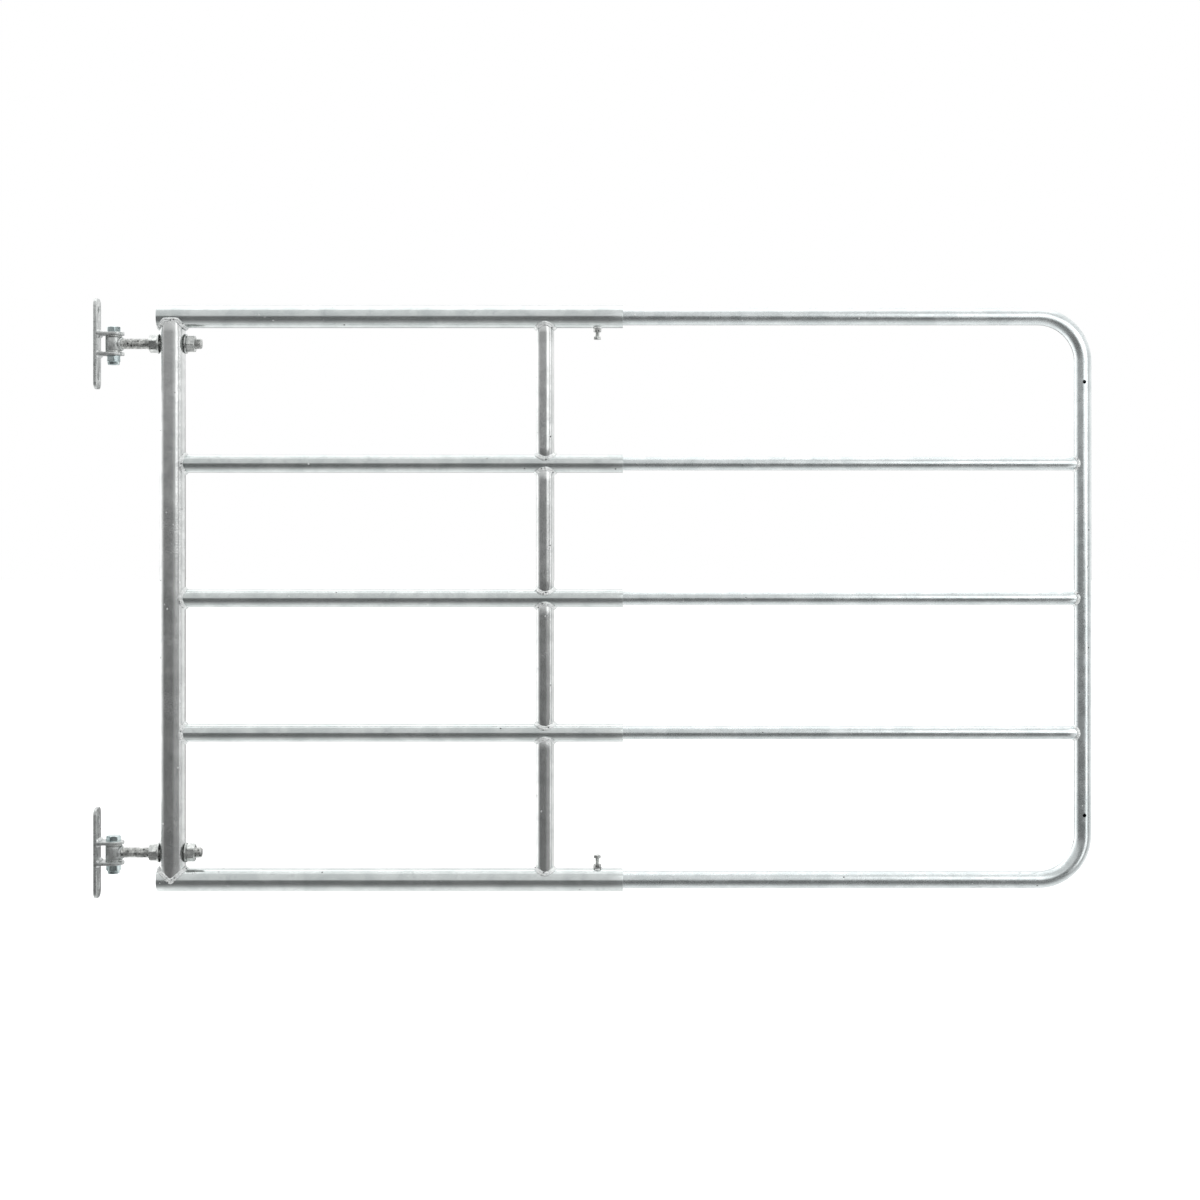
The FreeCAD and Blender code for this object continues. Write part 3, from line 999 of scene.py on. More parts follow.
# ---------------------------------------------------------------- geometry trees
class TreeBench(NodeSheet):
    """Builds one geometry tree and runs it on a path or a skin."""

    def __init__(self, name: str) -> None:
        """Start the tree with its geometry and finish sockets.

        Args:
            name: name of the tree.
        """
        super().__init__(bpy.data.node_groups.new(name, "GeometryNodeTree"))
        self.tree.interface.new_socket("Path", in_out="INPUT", socket_type="NodeSocketGeometry")
        self.tree.interface.new_socket("Finish", in_out="INPUT", socket_type="NodeSocketMaterial")
        self.tree.interface.new_socket("Shape", in_out="OUTPUT", socket_type="NodeSocketGeometry")
        self.entry = self.tree.nodes.new("NodeGroupInput")
        self.exit = self.tree.nodes.new("NodeGroupOutput")

    def number(self, name: str, default: float, kind: str = "Float") -> bpy.types.NodeSocket:
        """Add a named number to the tree's inputs.

        Args:
            name: name of the input.
            default: its usual value.
            kind: Float, or Int for a whole number.

        Returns:
            The socket inside the tree.
        """
        item = self.tree.interface.new_socket(name, in_out="INPUT", socket_type="NodeSocket" + kind)
        item.default_value = default
        return self.entry.outputs[name]

    def vectors(self, operation: str, first: object, second: object = None) -> bpy.types.NodeSocket:
        """One Vector Math node.

        Args:
            operation: Blender's name of the operation.
            first: vector socket.
            second: vector socket, or the factor socket of SCALE.

        Returns:
            The vector socket.
        """
        node = self.add("ShaderNodeVectorMath", operation=operation)
        self.feed(node.inputs[0], first)
        if second is not None:
            self.feed(node.inputs["Scale"] if operation == "SCALE" else node.inputs[1], second)
        return node.outputs["Vector"]

    def noise(self, scale: object, detail: float = 2.0, where: object = None) -> bpy.types.NodeSocket:
        """Noise between 0 and 1.

        Args:
            scale: features per metre.
            detail: octaves.
            where: coordinates, or None for the position.

        Returns:
            The factor socket.
        """
        node = self.add("ShaderNodeTexNoise")
        if where is not None:
            self.feed(node.inputs["Vector"], where)
        self.feed(node.inputs["Scale"], scale)
        node.inputs["Detail"].default_value = detail
        return node.outputs[0]

    def keep(self, geometry: bpy.types.NodeSocket, value: bpy.types.NodeSocket,
             kind: str = "FLOAT") -> Tuple[bpy.types.NodeSocket, bpy.types.NodeSocket]:
        """Store a value on points so that later shapes still know it.

        Args:
            geometry: geometry socket.
            value: value to store.
            kind: FLOAT or VECTOR.

        Returns:
            The geometry socket and the stored value's socket.
        """
        node = self.add("GeometryNodeCaptureAttribute", domain="POINT")
        node.capture_items.new(kind, "kept")
        self.feed(node.inputs[0], geometry)
        self.feed(node.inputs[1], value)
        return node.outputs[0], node.outputs[1]

    def path_curve(self, step: object) -> bpy.types.NodeSocket:
        """Evenly stepped curve along the path.

        Args:
            step: distance between points.

        Returns:
            The curve's socket.
        """
        curve = self.add("GeometryNodeMeshToCurve")
        self.feed(curve.inputs["Mesh"], self.entry.outputs["Path"])
        even = self.add("GeometryNodeResampleCurve", mode="LENGTH")
        self.feed(even.inputs["Curve"], curve.outputs[0])
        self.feed(even.inputs["Length"], step)
        return even.outputs[0]

    def close(self, geometry: bpy.types.NodeSocket) -> "TreeBench":
        """End the tree: smooth shading, real instances and the finish.

        Args:
            geometry: final geometry socket.

        Returns:
            This bench.
        """
        smooth = self.add("GeometryNodeSetShadeSmooth")
        self.feed(smooth.inputs[0], geometry)
        real = self.add("GeometryNodeRealizeInstances")
        self.feed(real.inputs[0], smooth.outputs[0])
        dressed = self.add("GeometryNodeSetMaterial")
        self.feed(dressed.inputs["Geometry"], real.outputs[0])
        self.feed(dressed.inputs["Material"], self.entry.outputs["Finish"])
        self.feed(self.exit.inputs[0], dressed.outputs[0])
        return self

    def run(self, base: bpy.types.Mesh, finish: bpy.types.Material, **values: object) -> bpy.types.Mesh:
        """Run the tree on a base mesh.

        Args:
            base: path of edges, or a skin of faces.
            finish: material.
            **values: the tree's named inputs, with underscores for spaces.

        Returns:
            Plain mesh of the result.
        """
        carrier = bpy.data.objects.new("carrier", base)
        bpy.context.scene.collection.objects.link(carrier)
        modifier = carrier.modifiers.new("tree", "NODES")
        modifier.node_group = self.tree
        wanted: Dict[str, object] = {key.replace("_", " "): value for key, value in values.items()}
        wanted["Finish"] = finish
        for item in self.tree.interface.items_tree:
            if item.item_type == "SOCKET" and item.in_out == "INPUT" and item.name in wanted:
                modifier[item.identifier] = wanted.pop(item.name)
        if wanted:
            raise ValueError(f"the tree has no input named {sorted(wanted)}")
        return evaluated_copy(carrier)


class WeldBead(TreeBench):
    """Weld bead that follows a seam: rippled, lumpy and tapered at open ends."""

    def __init__(self) -> None:
        """Build the tree."""
        super().__init__("weld_bead")
        radius = self.number("Bead radius", 4.0 * MM)
        pitch = self.number("Ripple pitch", 2.4 * MM)
        ripple = self.number("Ripple depth", 0.10)
        lump_scale = self.number("Lump scale", 140.0)
        lump = self.number("Lump depth", 0.45)
        taper = self.number("End taper", 3.0 * MM)
        skin_scale = self.number("Skin scale", 420.0)
        skin = self.number("Skin depth", 0.5 * MM)
        closed = self.number("Closed", 1.0)
        curve = self.path_curve(self.number("Step", 0.6 * MM))

        spline = self.add("GeometryNodeSplineParameter")
        total = self.add("GeometryNodeSplineLength")
        length = spline.outputs["Length"]
        wave = self.maths("ABSOLUTE", self.maths("SINE", self.maths("MULTIPLY", length, self.maths(
            "DIVIDE", math.pi, pitch))))
        size = self.maths("ADD", 1.0, self.maths("MULTIPLY", self.maths("SUBTRACT", wave, 0.6), ripple))
        lumps = self.maths("SUBTRACT", self.noise(lump_scale, 2.0), 0.5)
        size = self.maths("ADD", size, self.maths("MULTIPLY", lumps, self.maths("MULTIPLY", lump, 2.0)))
        to_end = self.maths("MINIMUM", length, self.maths("SUBTRACT", total.outputs["Length"], length))
        ends = self.maths("SQRT", self.maths("MINIMUM", self.maths("DIVIDE", to_end, taper), 1.0))
        ends = self.maths("MAXIMUM", self.maths("MAXIMUM", ends, 0.12), closed)
        size = self.maths("MULTIPLY", size, ends)

        profile = self.add("GeometryNodeCurvePrimitiveCircle")
        profile.inputs["Resolution"].default_value = 14
        self.feed(profile.inputs["Radius"], radius)
        bead = self.add("GeometryNodeCurveToMesh")
        self.feed(bead.inputs["Curve"], curve)
        self.feed(bead.inputs["Profile Curve"], profile.outputs[0])
        self.feed(bead.inputs["Scale"], size)
        bead.inputs["Fill Caps"].default_value = True
        rough = self.maths("MULTIPLY", self.maths("SUBTRACT", self.noise(skin_scale, 3.0), 0.5), skin)
        moved = self.add("GeometryNodeSetPosition")
        self.feed(moved.inputs["Geometry"], bead.outputs[0])
        self.feed(moved.inputs["Offset"],
                  self.vectors("SCALE", self.add("GeometryNodeInputNormal").outputs[0], rough))
        self.close(moved.outputs[0])


class RolledThread(TreeBench):
    """Round bar with a rolled thread and chamfered ends along a straight path."""

    def __init__(self) -> None:
        """Build the tree."""
        super().__init__("rolled_thread")
        radius = self.number("Bar radius", 10.0 * MM)
        pitch = self.number("Thread pitch", 2.5 * MM)
        depth = self.number("Thread depth", 1.3 * MM)
        begin = self.number("Thread begins", 0.0)
        first = self.number("First chamfer", 0.2 * MM)
        last = self.number("Last chamfer", 2.0 * MM)
        curve = self.path_curve(self.number("Step", 0.4 * MM))

        length = self.add("GeometryNodeSplineParameter").outputs["Length"]
        total = self.add("GeometryNodeSplineLength").outputs["Length"]
        curve, along = self.keep(curve, length)
        curve, left = self.keep(curve, self.maths("SUBTRACT", total, length))
        curve, middle = self.keep(curve, self.add("GeometryNodeInputPosition").outputs[0], "VECTOR")
        profile = self.add("GeometryNodeCurvePrimitiveCircle")
        profile.inputs["Resolution"].default_value = 40
        self.feed(profile.inputs["Radius"], radius)
        round_curve, turn = self.keep(profile.outputs[0],
                                      self.add("GeometryNodeSplineParameter").outputs["Factor"])
        bar = self.add("GeometryNodeCurveToMesh")
        self.feed(bar.inputs["Curve"], curve)
        self.feed(bar.inputs["Profile Curve"], round_curve)
        bar.inputs["Fill Caps"].default_value = True

        phase = self.maths("FRACT", self.maths("SUBTRACT", self.maths("DIVIDE", along, pitch), turn))
        groove = self.maths("ABSOLUTE", self.maths("SUBTRACT", self.maths("MULTIPLY", phase, 2.0), 1.0))
        groove = self.maths("MINIMUM", self.maths("MAXIMUM", self.maths(
            "MULTIPLY", self.maths("SUBTRACT", groove, 0.1), 1.25), 0.0), 1.0)
        starts = self.maths("MINIMUM", self.maths("MAXIMUM", self.maths(
            "DIVIDE", self.maths("SUBTRACT", along, begin), self.maths("MULTIPLY", pitch, 1.2)), 0.0), 1.0)
        size = self.maths("SUBTRACT", radius, self.maths("MULTIPLY", depth, self.maths(
            "MULTIPLY", groove, starts)))
        for distance, chamfer in ((along, first), (left, last)):
            limit = self.maths("ADD", self.maths("SUBTRACT", radius, chamfer), distance)
            size = self.maths("MINIMUM", size, limit)
        position = self.add("GeometryNodeInputPosition").outputs[0]
        spoke = self.vectors("SUBTRACT", position, middle)
        moved = self.add("GeometryNodeSetPosition")
        self.feed(moved.inputs["Geometry"], bar.outputs[0])
        self.feed(moved.inputs["Position"], self.vectors(
            "ADD", middle, self.vectors("SCALE", spoke, self.maths("DIVIDE", size, radius))))
        self.close(moved.outputs[0])


class ZincSpecks(TreeBench):
    """Small frozen drops of zinc, scattered over a skin."""

    def __init__(self) -> None:
        """Build the tree."""
        super().__init__("zinc_specks")
        density = self.number("Specks per square metre", 160.0)
        small = self.number("Smallest radius", 0.5 * MM)
        large = self.number("Largest radius", 1.5 * MM)
        seed = self.number("Seed", 7, "Int")
        points = self.add("GeometryNodeDistributePointsOnFaces", distribute_method="RANDOM")
        self.feed(points.inputs["Mesh"], self.entry.outputs["Path"])
        self.feed(points.inputs["Density"], density)
        self.feed(points.inputs["Seed"], seed)
        drop = self.add("GeometryNodeMeshUVSphere")
        drop.inputs["Segments"].default_value = 8
        drop.inputs["Rings"].default_value = 5
        drop.inputs["Radius"].default_value = 1.0
        size = self.add("FunctionNodeRandomValue", data_type="FLOAT")
        floats = [socket for socket in size.inputs if socket.type == "VALUE" and socket.enabled]
        self.feed(floats[0], small)
        self.feed(floats[1], large)
        self.feed(size.inputs["Seed"], seed)
        radius = next(socket for socket in size.outputs if socket.type == "VALUE" and socket.enabled)
        spread = self.add("ShaderNodeCombineXYZ")
        self.feed(spread.inputs[0], radius)
        self.feed(spread.inputs[1], self.maths("MULTIPLY", radius, 1.25))
        self.feed(spread.inputs[2], self.maths("MULTIPLY", radius, 0.45))
        placed = self.add("GeometryNodeInstanceOnPoints")
        self.feed(placed.inputs["Points"], points.outputs["Points"])
        self.feed(placed.inputs["Instance"], drop.outputs["Mesh"])
        self.feed(placed.inputs["Rotation"], points.outputs["Rotation"])
        self.feed(placed.inputs["Scale"], spread.outputs[0])
        self.close(placed.outputs[0])


def path_mesh(paths: Sequence[Sequence[Vector]], closed: bool) -> bpy.types.Mesh:
    """Edges along one or more paths.

    Args:
        paths: the points of each path.
        closed: true if each path's last point joins its first.

    Returns:
        Mesh of edges.
    """
    points: List[Vector] = []
    edges: List[Tuple[int, int]] = []
    for path in paths:
        base = len(points)
        points += list(path)
        edges += [(base + step, base + step + 1) for step in range(len(path) - 1)]
        if closed:
            edges.append((base + len(path) - 1, base))
    mesh = bpy.data.meshes.new("path")
    mesh.from_pydata([tuple(point) for point in points], edges, [])
    return mesh


@dataclass
class Trees:
    """The gate's geometry trees, built once."""

    weld: WeldBead = field(default_factory=WeldBead)
    thread: RolledThread = field(default_factory=RolledThread)
    specks: ZincSpecks = field(default_factory=ZincSpecks)


# ---------------------------------------------------------------- flat parts
@dataclass
class FlatPart:
    """Flat bar part cut from an outline, with softened edges and round holes."""

    thickness: float
    edge: float = 0.7 * MM
    outline: List[Tuple[float, float]] = field(default_factory=list)
    holes: List[Tuple[float, float, float]] = field(default_factory=list)

    def arc(self, x: float, y: float, radius: float, start: float, end: float, steps: int = 10) -> None:
        """Add an arc to the outline.

        Args:
            x: centre.
            y: centre.
            radius: radius of the arc.
            start: first angle in degrees.
            end: last angle in degrees.
            steps: spans of the arc.
        """
        for step in range(steps + 1):
            angle = math.radians(start + (end - start) * step / steps)
            self.outline.append((x + radius * math.cos(angle), y + radius * math.sin(angle)))

    def build(self, name: str) -> bpy.types.Mesh:
        """Make the part flat on the XY plane, its thickness from 0 upwards.

        Args:
            name: name of the mesh.

        Returns:
            Closed mesh.
        """
        curve = bpy.data.curves.new(name, "CURVE")
        curve.dimensions = "2D"
        curve.fill_mode = "BOTH"
        curve.extrude = self.thickness / 2.0 - self.edge
        curve.bevel_depth = self.edge
        curve.bevel_resolution = 2
        curve.offset = -self.edge
        rings = [self.outline]
        for x, y, radius in self.holes:
            rings.append([(x + radius * math.cos(-angle), y + radius * math.sin(-angle))
                          for angle in np.linspace(0.0, 2.0 * math.pi, 56, endpoint=False)])
        for ring in rings:
            spline = curve.splines.new("POLY")
            spline.points.add(len(ring) - 1)
            for point, (x, y) in zip(spline.points, ring):
                point.co = (x, y, 0.0, 1.0)
            spline.use_cyclic_u = True
        blank = bpy.data.objects.new(name, curve)
        bpy.context.scene.collection.objects.link(blank)
        bpy.context.view_layer.update()
        mesh = evaluated_copy(blank)
        for vertex in mesh.vertices:
            vertex.co.z += self.thickness / 2.0
        return tidy_mesh(mesh)


def moved(mesh: bpy.types.Mesh, remap: Callable[[Vector], Vector]) -> bpy.types.Mesh:
    """Move every point of a mesh and turn its faces outwards again.

    Args:
        mesh: mesh to move.
        remap: gives each point's new place.

    Returns:
        The same mesh.
    """
    for vertex in mesh.vertices:
        vertex.co = remap(vertex.co.copy())
    return tidy_mesh(mesh)


# ---------------------------------------------------------------- sub-assemblies
@dataclass
class PostBracket:
    """Plate, two lugs, hinge bolt with its lock nut, and thrust washers, at one height."""

    name: str
    bolt_turn: float
    nut_turn: float
    corner_radius: float = 14.0 * MM
    hole_radius: float = 6.5 * MM
    hole_spacing: float = 125.0 * MM
    lug_hole_radius: float = 8.5 * MM
    bolt_radius: float = 8.0 * MM
    bolt_flats: float = 24.0 * MM
    head_height: float = 10.0 * MM
    nut_hex_height: float = 12.0 * MM
    collar_radius: float = 11.0 * MM
    nut_bore: float = 8.05 * MM
    weld_radius: float = 4.2 * MM
    dish_margin: float = 1.2 * MM
    dish_depth: float = 0.15 * MM
    dish_centre: float = 1.0 * MM

    def build(self, finishes: Finishes, trees: Trees) -> List[bpy.types.Object]:
        """Make and dress the bracket.

        Args:
            finishes: materials.
            trees: geometry trees.

        Returns:
            The new pieces.
        """
        return [self._plate(finishes), *self._lugs(finishes), self._bolt(finishes), self._lock_nut(finishes),
                self._washers(finishes), self._welds(finishes, trees)]

    def _plate(self, finishes: Finishes) -> bpy.types.Object:
        """Plate with rounded corners and two holes.

        Args:
            finishes: materials.

        Returns:
            The new piece.
        """
        node = self.name + "_post_plate"
        box = Place.of(node)
        half_width, half_height = box.size.y / 2.0, box.size.z / 2.0
        part = FlatPart(box.size.x, 0.9 * MM)
        radius = self.corner_radius
        for x, y, start in ((1, 1, 0), (-1, 1, 90), (-1, -1, 180), (1, -1, 270)):
            part.arc(x * (half_width - radius), y * (half_height - radius), radius, start, start + 90)
        part.holes = [(0.0, side * self.hole_spacing / 2.0, self.hole_radius) for side in (-1, 1)]
        middle = box.centre
        mesh = moved(part.build(node + "_flat"), lambda p: Vector((box.low.x + p.z, p.x, middle.z + p.y)))
        return add_piece(node + "_flat", mesh, Body.POST, finishes.bracket, [node])

    def _lugs(self, finishes: Finishes) -> List[bpy.types.Object]:
        """Two lugs, round about the hinge bolt.

        Args:
            finishes: materials.

        Returns:
            The new pieces.
        """
        pieces = []
        for side in ("top", "bottom"):
            node = f"{self.name}_bracket_{side}_lug"
            box = Place.of(node)
            radius = box.size.y / 2.0
            part = FlatPart(box.size.z, 0.7 * MM)
            axis = box.high.x - radius
            part.arc(axis, 0.0, radius, -90.0, 90.0, 36)
            part.outline += [(box.low.x, radius), (box.low.x, -radius)]
            part.holes = [(axis, 0.0, self.lug_hole_radius)]
            base = box.low.z
            mesh = moved(part.build(node + "_bar"), lambda p, z=base: Vector((p.x, p.y, z + p.z)))
            pieces.append(add_piece(node + "_bar", mesh, Body.POST, finishes.bracket, [node]))
        return pieces

    def _bolt(self, finishes: Finishes) -> bpy.types.Object:
        """Hexagon bolt, head up.

        Args:
            finishes: materials.

        Returns:
            The new piece.
        """
        node = self.name + "_hinge_bolt"
        box = Place.of(node)
        axis = box.centre
        seat = box.high.z - self.head_height
        shape = HexagonShape(self.bolt_flats, self.head_height)
        part = TurnedPart(on_plane(axis.x, seat), UPRIGHT, math.radians(self.bolt_turn))
        tip = seat - box.low.z
        rings = [part.ring(-tip, 0.80 * self.bolt_radius), part.ring(1.5 * MM - tip, self.bolt_radius)]
        rings += [part.ring(-0.4 * MM, self.bolt_radius), part.ring(0.0, self.bolt_radius + 0.4 * MM)]
        rings += [part.ring(height, radius, shape) for height, radius in shape.levels(False, True)]
        dish = shape.face_share * self.bolt_flats / 2.0 - self.dish_margin
        sunk = self.head_height - self.dish_depth
        rings += [part.ring(sunk, dish), part.ring(sunk, self.dish_centre)]
        mesh = part.build(node + "_hexagon", rings, False)
        return add_piece(node + "_hexagon", mesh, Body.POST, finishes.bolt, [node])

    def _lock_nut(self, finishes: Finishes) -> bpy.types.Object:
        """Lock nut with a rounded collar, mouth down.

        Args:
            finishes: materials.

        Returns:
            The new piece.
        """
        node = self.name + "_hinge_lock_nut"
        box = Place.of(node)
        shape = HexagonShape(self.bolt_flats, self.nut_hex_height)
        part = TurnedPart(on_plane(box.centre.x, box.high.z), -UPRIGHT, math.radians(self.nut_turn))
        height = box.size.z
        rings = [part.ring(level, radius, shape) for level, radius in shape.levels(True, True)]
        start = self.nut_hex_height
        rings += [part.ring(start, self.collar_radius + 0.2 * MM)]
        rings += [part.ring(start + 0.4 * MM, self.collar_radius)]
        for step in range(7):
            angle = 0.5 * math.pi * step / 6.0
            rings.append(part.ring(height - 1.6 * MM * (1.0 - math.sin(angle)),
                                   self.collar_radius - 1.6 * MM * (1.0 - math.cos(angle))))
        mouth = self.nut_bore + 0.3 * MM
        rings += [part.ring(height, mouth), part.ring(height - 0.3 * MM, self.nut_bore)]
        rings += [part.ring(0.6 * MM, self.nut_bore), part.ring(0.0, self.nut_bore + 0.6 * MM)]
        mesh = part.build(node + "_collared", rings, True)
        return add_piece(node + "_collared", mesh, Body.POST, finishes.bolt, [node])

    def _washers(self, finishes: Finishes) -> bpy.types.Object:
        """Thrust washers above and below the eye.

        Args:
            finishes: materials.

        Returns:
            The new piece.
        """
        node = self.name + "_thrust_washers"
        box = Place.of(node)
        thickness = 3.0 * MM
        radius = box.size.x / 2.0
        centre = on_plane(box.centre.x, 0.0)
        meshes = [washer_mesh("washer", centre + UPRIGHT * low, UPRIGHT, thickness, radius,
                              self.lug_hole_radius) for low in (box.low.z, box.high.z - thickness)]
        return add_piece(node + "_pair", joined(meshes), Body.POST, finishes.fastener, [node])

    def _welds(self, finishes: Finishes, trees: Trees) -> bpy.types.Object:
        """Fillet welds above and below each lug.

        Args:
            finishes: materials.
            trees: geometry trees.

        Returns:
            The new piece.
        """
        paths = []
        for side in ("top", "bottom"):
            box = Place.of(f"{self.name}_bracket_{side}_lug")
            half = box.size.y / 2.0 - 0.5 * MM
            for z in (box.low.z, box.high.z):
                paths.append([Vector((box.low.x + 0.3 * MM, y, z)) for y in np.linspace(-half, half, 30)])
        mesh = trees.weld.run(path_mesh(paths, False), finishes.weld, Bead_radius=self.weld_radius,
                              Closed=0.0, End_taper=2.5 * MM, Lump_depth=0.3)
        return add_piece(self.name + "_lug_welds", mesh, Body.POST, finishes.weld)


@dataclass
class EyeBolt:
    """Eye, its threaded rod and the weld between them."""

    name: str
    thread_pitch: float = 2.5 * MM
    thread_depth: float = 1.35 * MM
    bore: float = 8.1 * MM
    weld_radius: float = 3.6 * MM
    rod_start: float = 10.6 * MM

    def build(self, finishes: Finishes, trees: Trees) -> List[bpy.types.Object]:
        """Make and dress the eye bolt.

        Args:
            finishes: materials.
            trees: geometry trees.

        Returns:
            The new pieces.
        """
        eye_node, rod_node = self.name + "_hinge_eye", self.name + "_eye_rod"
        eye, rod = Place.of(eye_node), Place.of(rod_node)
        base = on_plane(eye.centre.x, eye.low.z)
        barrel = washer_mesh(eye_node + "_barrel", base, UPRIGHT, eye.size.z, eye.size.x / 2.0, self.bore,
                             1.1 * MM, 96)
        radius = rod.size.z / 2.0
        start = on_plane(eye.centre.x + self.rod_start, rod.centre.z)
        end = on_plane(rod.high.x, rod.centre.z)
        thread = trees.thread.run(path_mesh([[start, end]], False), finishes.thread, Bar_radius=radius,
                                  Thread_pitch=self.thread_pitch, Thread_depth=self.thread_depth,
                                  Thread_begins=6.0 * MM)
        saddle = Saddle(radius, eye.size.x / 2.0)
        seam = saddle.seam(on_plane(eye.centre.x, rod.centre.z), LEVEL)
        bead = trees.weld.run(path_mesh(seam, True), finishes.bracket, Bead_radius=self.weld_radius,
                              Lump_depth=0.25)
        return [
            add_piece(eye_node + "_barrel", barrel, Body.EYES, finishes.bracket, [eye_node]),
            add_piece(rod_node + "_thread", thread, Body.EYES, finishes.thread, [rod_node]),
            add_piece(self.name + "_eye_weld", bead, Body.EYES, finishes.bracket),
        ]


@dataclass
class OuterHalf:
    """Sleeve rails, hinge upright and middle upright, with their welds, nuts and washers."""

    upright_wall: float = 2.6 * MM
    main_wall: float = 2.6 * MM
    mid_wall: float = 2.3 * MM
    cope_relief: float = 1.0 * MM
    arch_drop: float = 8.0 * MM
    mid_bite: float = 0.80
    rod_hole: float = 11.0 * MM
    nut_flats: float = 30.0 * MM
    nut_height: float = 16.0 * MM
    nut_bore: float = 10.05 * MM
    clamp_flats: float = 13.0 * MM
    clamp_bore: float = 4.05 * MM
    weld_radius: float = 2.9 * MM
    weld_spread: float = 1.8 * MM
    rails: Tuple[str, ...] = ("bottom", "lower_mid", "centre", "upper_mid", "top")
    nut_turns: Dict[str, Tuple[float, float]] = field(
        default_factory=lambda: {"upper": (18.0, -6.0), "lower": (13.0, 33.0)})
    skins: List[bpy.types.Mesh] = field(default_factory=list)
    nut_weld_radius: float = 1.9 * MM
    nut_weld_pitch: float = 1.6 * MM
    nut_weld_skin: float = 0.35 * MM
    screw_hole: float = 4.4 * MM
    washer_bore: float = 10.5 * MM

    def rail(self, name: str) -> Place:
        """Box of a sleeve rail."""
        return Place.of(name + "_sleeve_rail")

    def build(self, finishes: Finishes, trees: Trees) -> List[bpy.types.Object]:
        """Make and dress the outer half.

        Args:
            finishes: materials.
            trees: geometry trees.

        Returns:
            The new pieces.
        """
        pieces = [self._hinge_upright(finishes)]
        pieces += [self._sleeve(name, finishes) for name in self.rails]
        pieces += [self._middle_piece(number, finishes) for number in range(1, len(self.rails))]
        pieces += self._nuts_and_washers(finishes)
        pieces += self._clamp_nuts(finishes)
        pieces += self._welds(finishes, trees)
        return pieces

    def _tube(self, node: str, run: TubeRun, coat: bpy.types.Material,
              drills: Sequence[bpy.types.Mesh] = ()) -> bpy.types.Object:
        """Add one tube of the outer half.

        Args:
            node: frame node it stands for.
            run: the tube.
            coat: its finish.
            drills: bars cut out of it.

        Returns:
            The new piece.
        """
        mesh = run.build(node)
        self.skins.append(mesh.copy())
        if drills:
            mesh = drilled(mesh, drills)
        return add_piece(node + "_tube", mesh, Body.OUTER, coat, [node])

    def _end_saddles(self) -> Tuple[Saddle, Saddle]:
        """Saddles at the lower and upper end of the hinge upright.

        Returns:
            The lower and the upper saddle.
        """
        upright = Place.of("hinge_upright").size.x / 2.0
        rail = self.rail("top").size.z / 2.0
        return (Saddle(upright, rail, arch=1.0, floor=self.cope_relief),
                Saddle(upright, rail, arch=1.35, floor=self.arch_drop))

    def _hinge_upright(self, finishes: Finishes) -> bpy.types.Object:
        """Upright between the main sleeves, drilled for the eye rods.

        Args:
            finishes: materials.

        Returns:
            The new piece.
        """
        box = Place.of("hinge_upright")
        x = box.centre.x
        low, high = self.rail("bottom").centre.z, self.rail("top").centre.z
        lower, upper = self._end_saddles()
        run = TubeRun(TubeRun.straight(on_plane(x, low), on_plane(x, high)), box.size.x / 2.0,
                      self.upright_wall, lower, upper)
        drills = []
        for side in ("lower", "upper"):
            z = Place.of(side + "_eye_rod").centre.z
            drills.append(bar_mesh("drill", on_plane(x - box.size.x, z), LEVEL, 2.0 * box.size.x,
                                   self.rod_hole))
        return self._tube("hinge_upright", run, finishes.upright, drills)

    def _sleeve(self, name: str, finishes: Finishes) -> bpy.types.Object:
        """One sleeve rail, coped to the hinge upright if it is a middle one.

        Args:
            name: name of the rail.
            finishes: materials.

        Returns:
            The new piece.
        """
        box = self.rail(name)
        z, radius = box.centre.z, box.size.z / 2.0
        main = name in (self.rails[0], self.rails[-1])
        upright = Place.of("hinge_upright")
        start = box.low.x if main else upright.centre.x
        saddle = None if main else Saddle(radius, upright.size.x / 2.0)
        run = TubeRun(TubeRun.straight(on_plane(start, z), on_plane(box.high.x, z)), radius,
                      self.main_wall if main else self.mid_wall, saddle, None)
        drills = []
        if main:
            screw = Place.of("lower_clamp_screw" if name == self.rails[0] else "upper_clamp_screw")
            up = UPRIGHT if name == self.rails[0] else -UPRIGHT
            drills.append(bar_mesh("drill", on_plane(screw.centre.x, z), up, 2.0 * radius, self.screw_hole))
        return self._tube(name + "_sleeve_rail", run, finishes.tube, drills)

    def _middle_saddles(self, number: int) -> Tuple[Saddle, Saddle, float, float]:
        """Saddles and rail heights at the ends of one piece of the middle upright.

        Args:
            number: number of the piece, from 1 at the bottom.

        Returns:
            Lower and upper saddle, and the heights of the rails below and above.
        """
        low, high = self.rail(self.rails[number - 1]), self.rail(self.rails[number])
        radius = Place.of(f"middle_upright_piece_{number}").size.x / 2.0
        lower, upper = (Saddle(radius, rail.size.z / 2.0,
                               min(1.0, self.mid_bite * rail.size.z / 2.0 / radius),
                               floor=self.cope_relief) for rail in (low, high))
        return lower, upper, low.centre.z, high.centre.z

    def _middle_piece(self, number: int, finishes: Finishes) -> bpy.types.Object:
        """One piece of the middle upright, coped to the rails below and above.

        Args:
            number: number of the piece, from 1 at the bottom.
            finishes: materials.

        Returns:
            The new piece.
        """
        node = f"middle_upright_piece_{number}"
        box = Place.of(node)
        lower, upper, low, high = self._middle_saddles(number)
        x = box.centre.x
        run = TubeRun(TubeRun.straight(on_plane(x, low), on_plane(x, high)), box.size.x / 2.0,
                      self.mid_wall, lower, upper)
        return self._tube(node, run, finishes.upright)

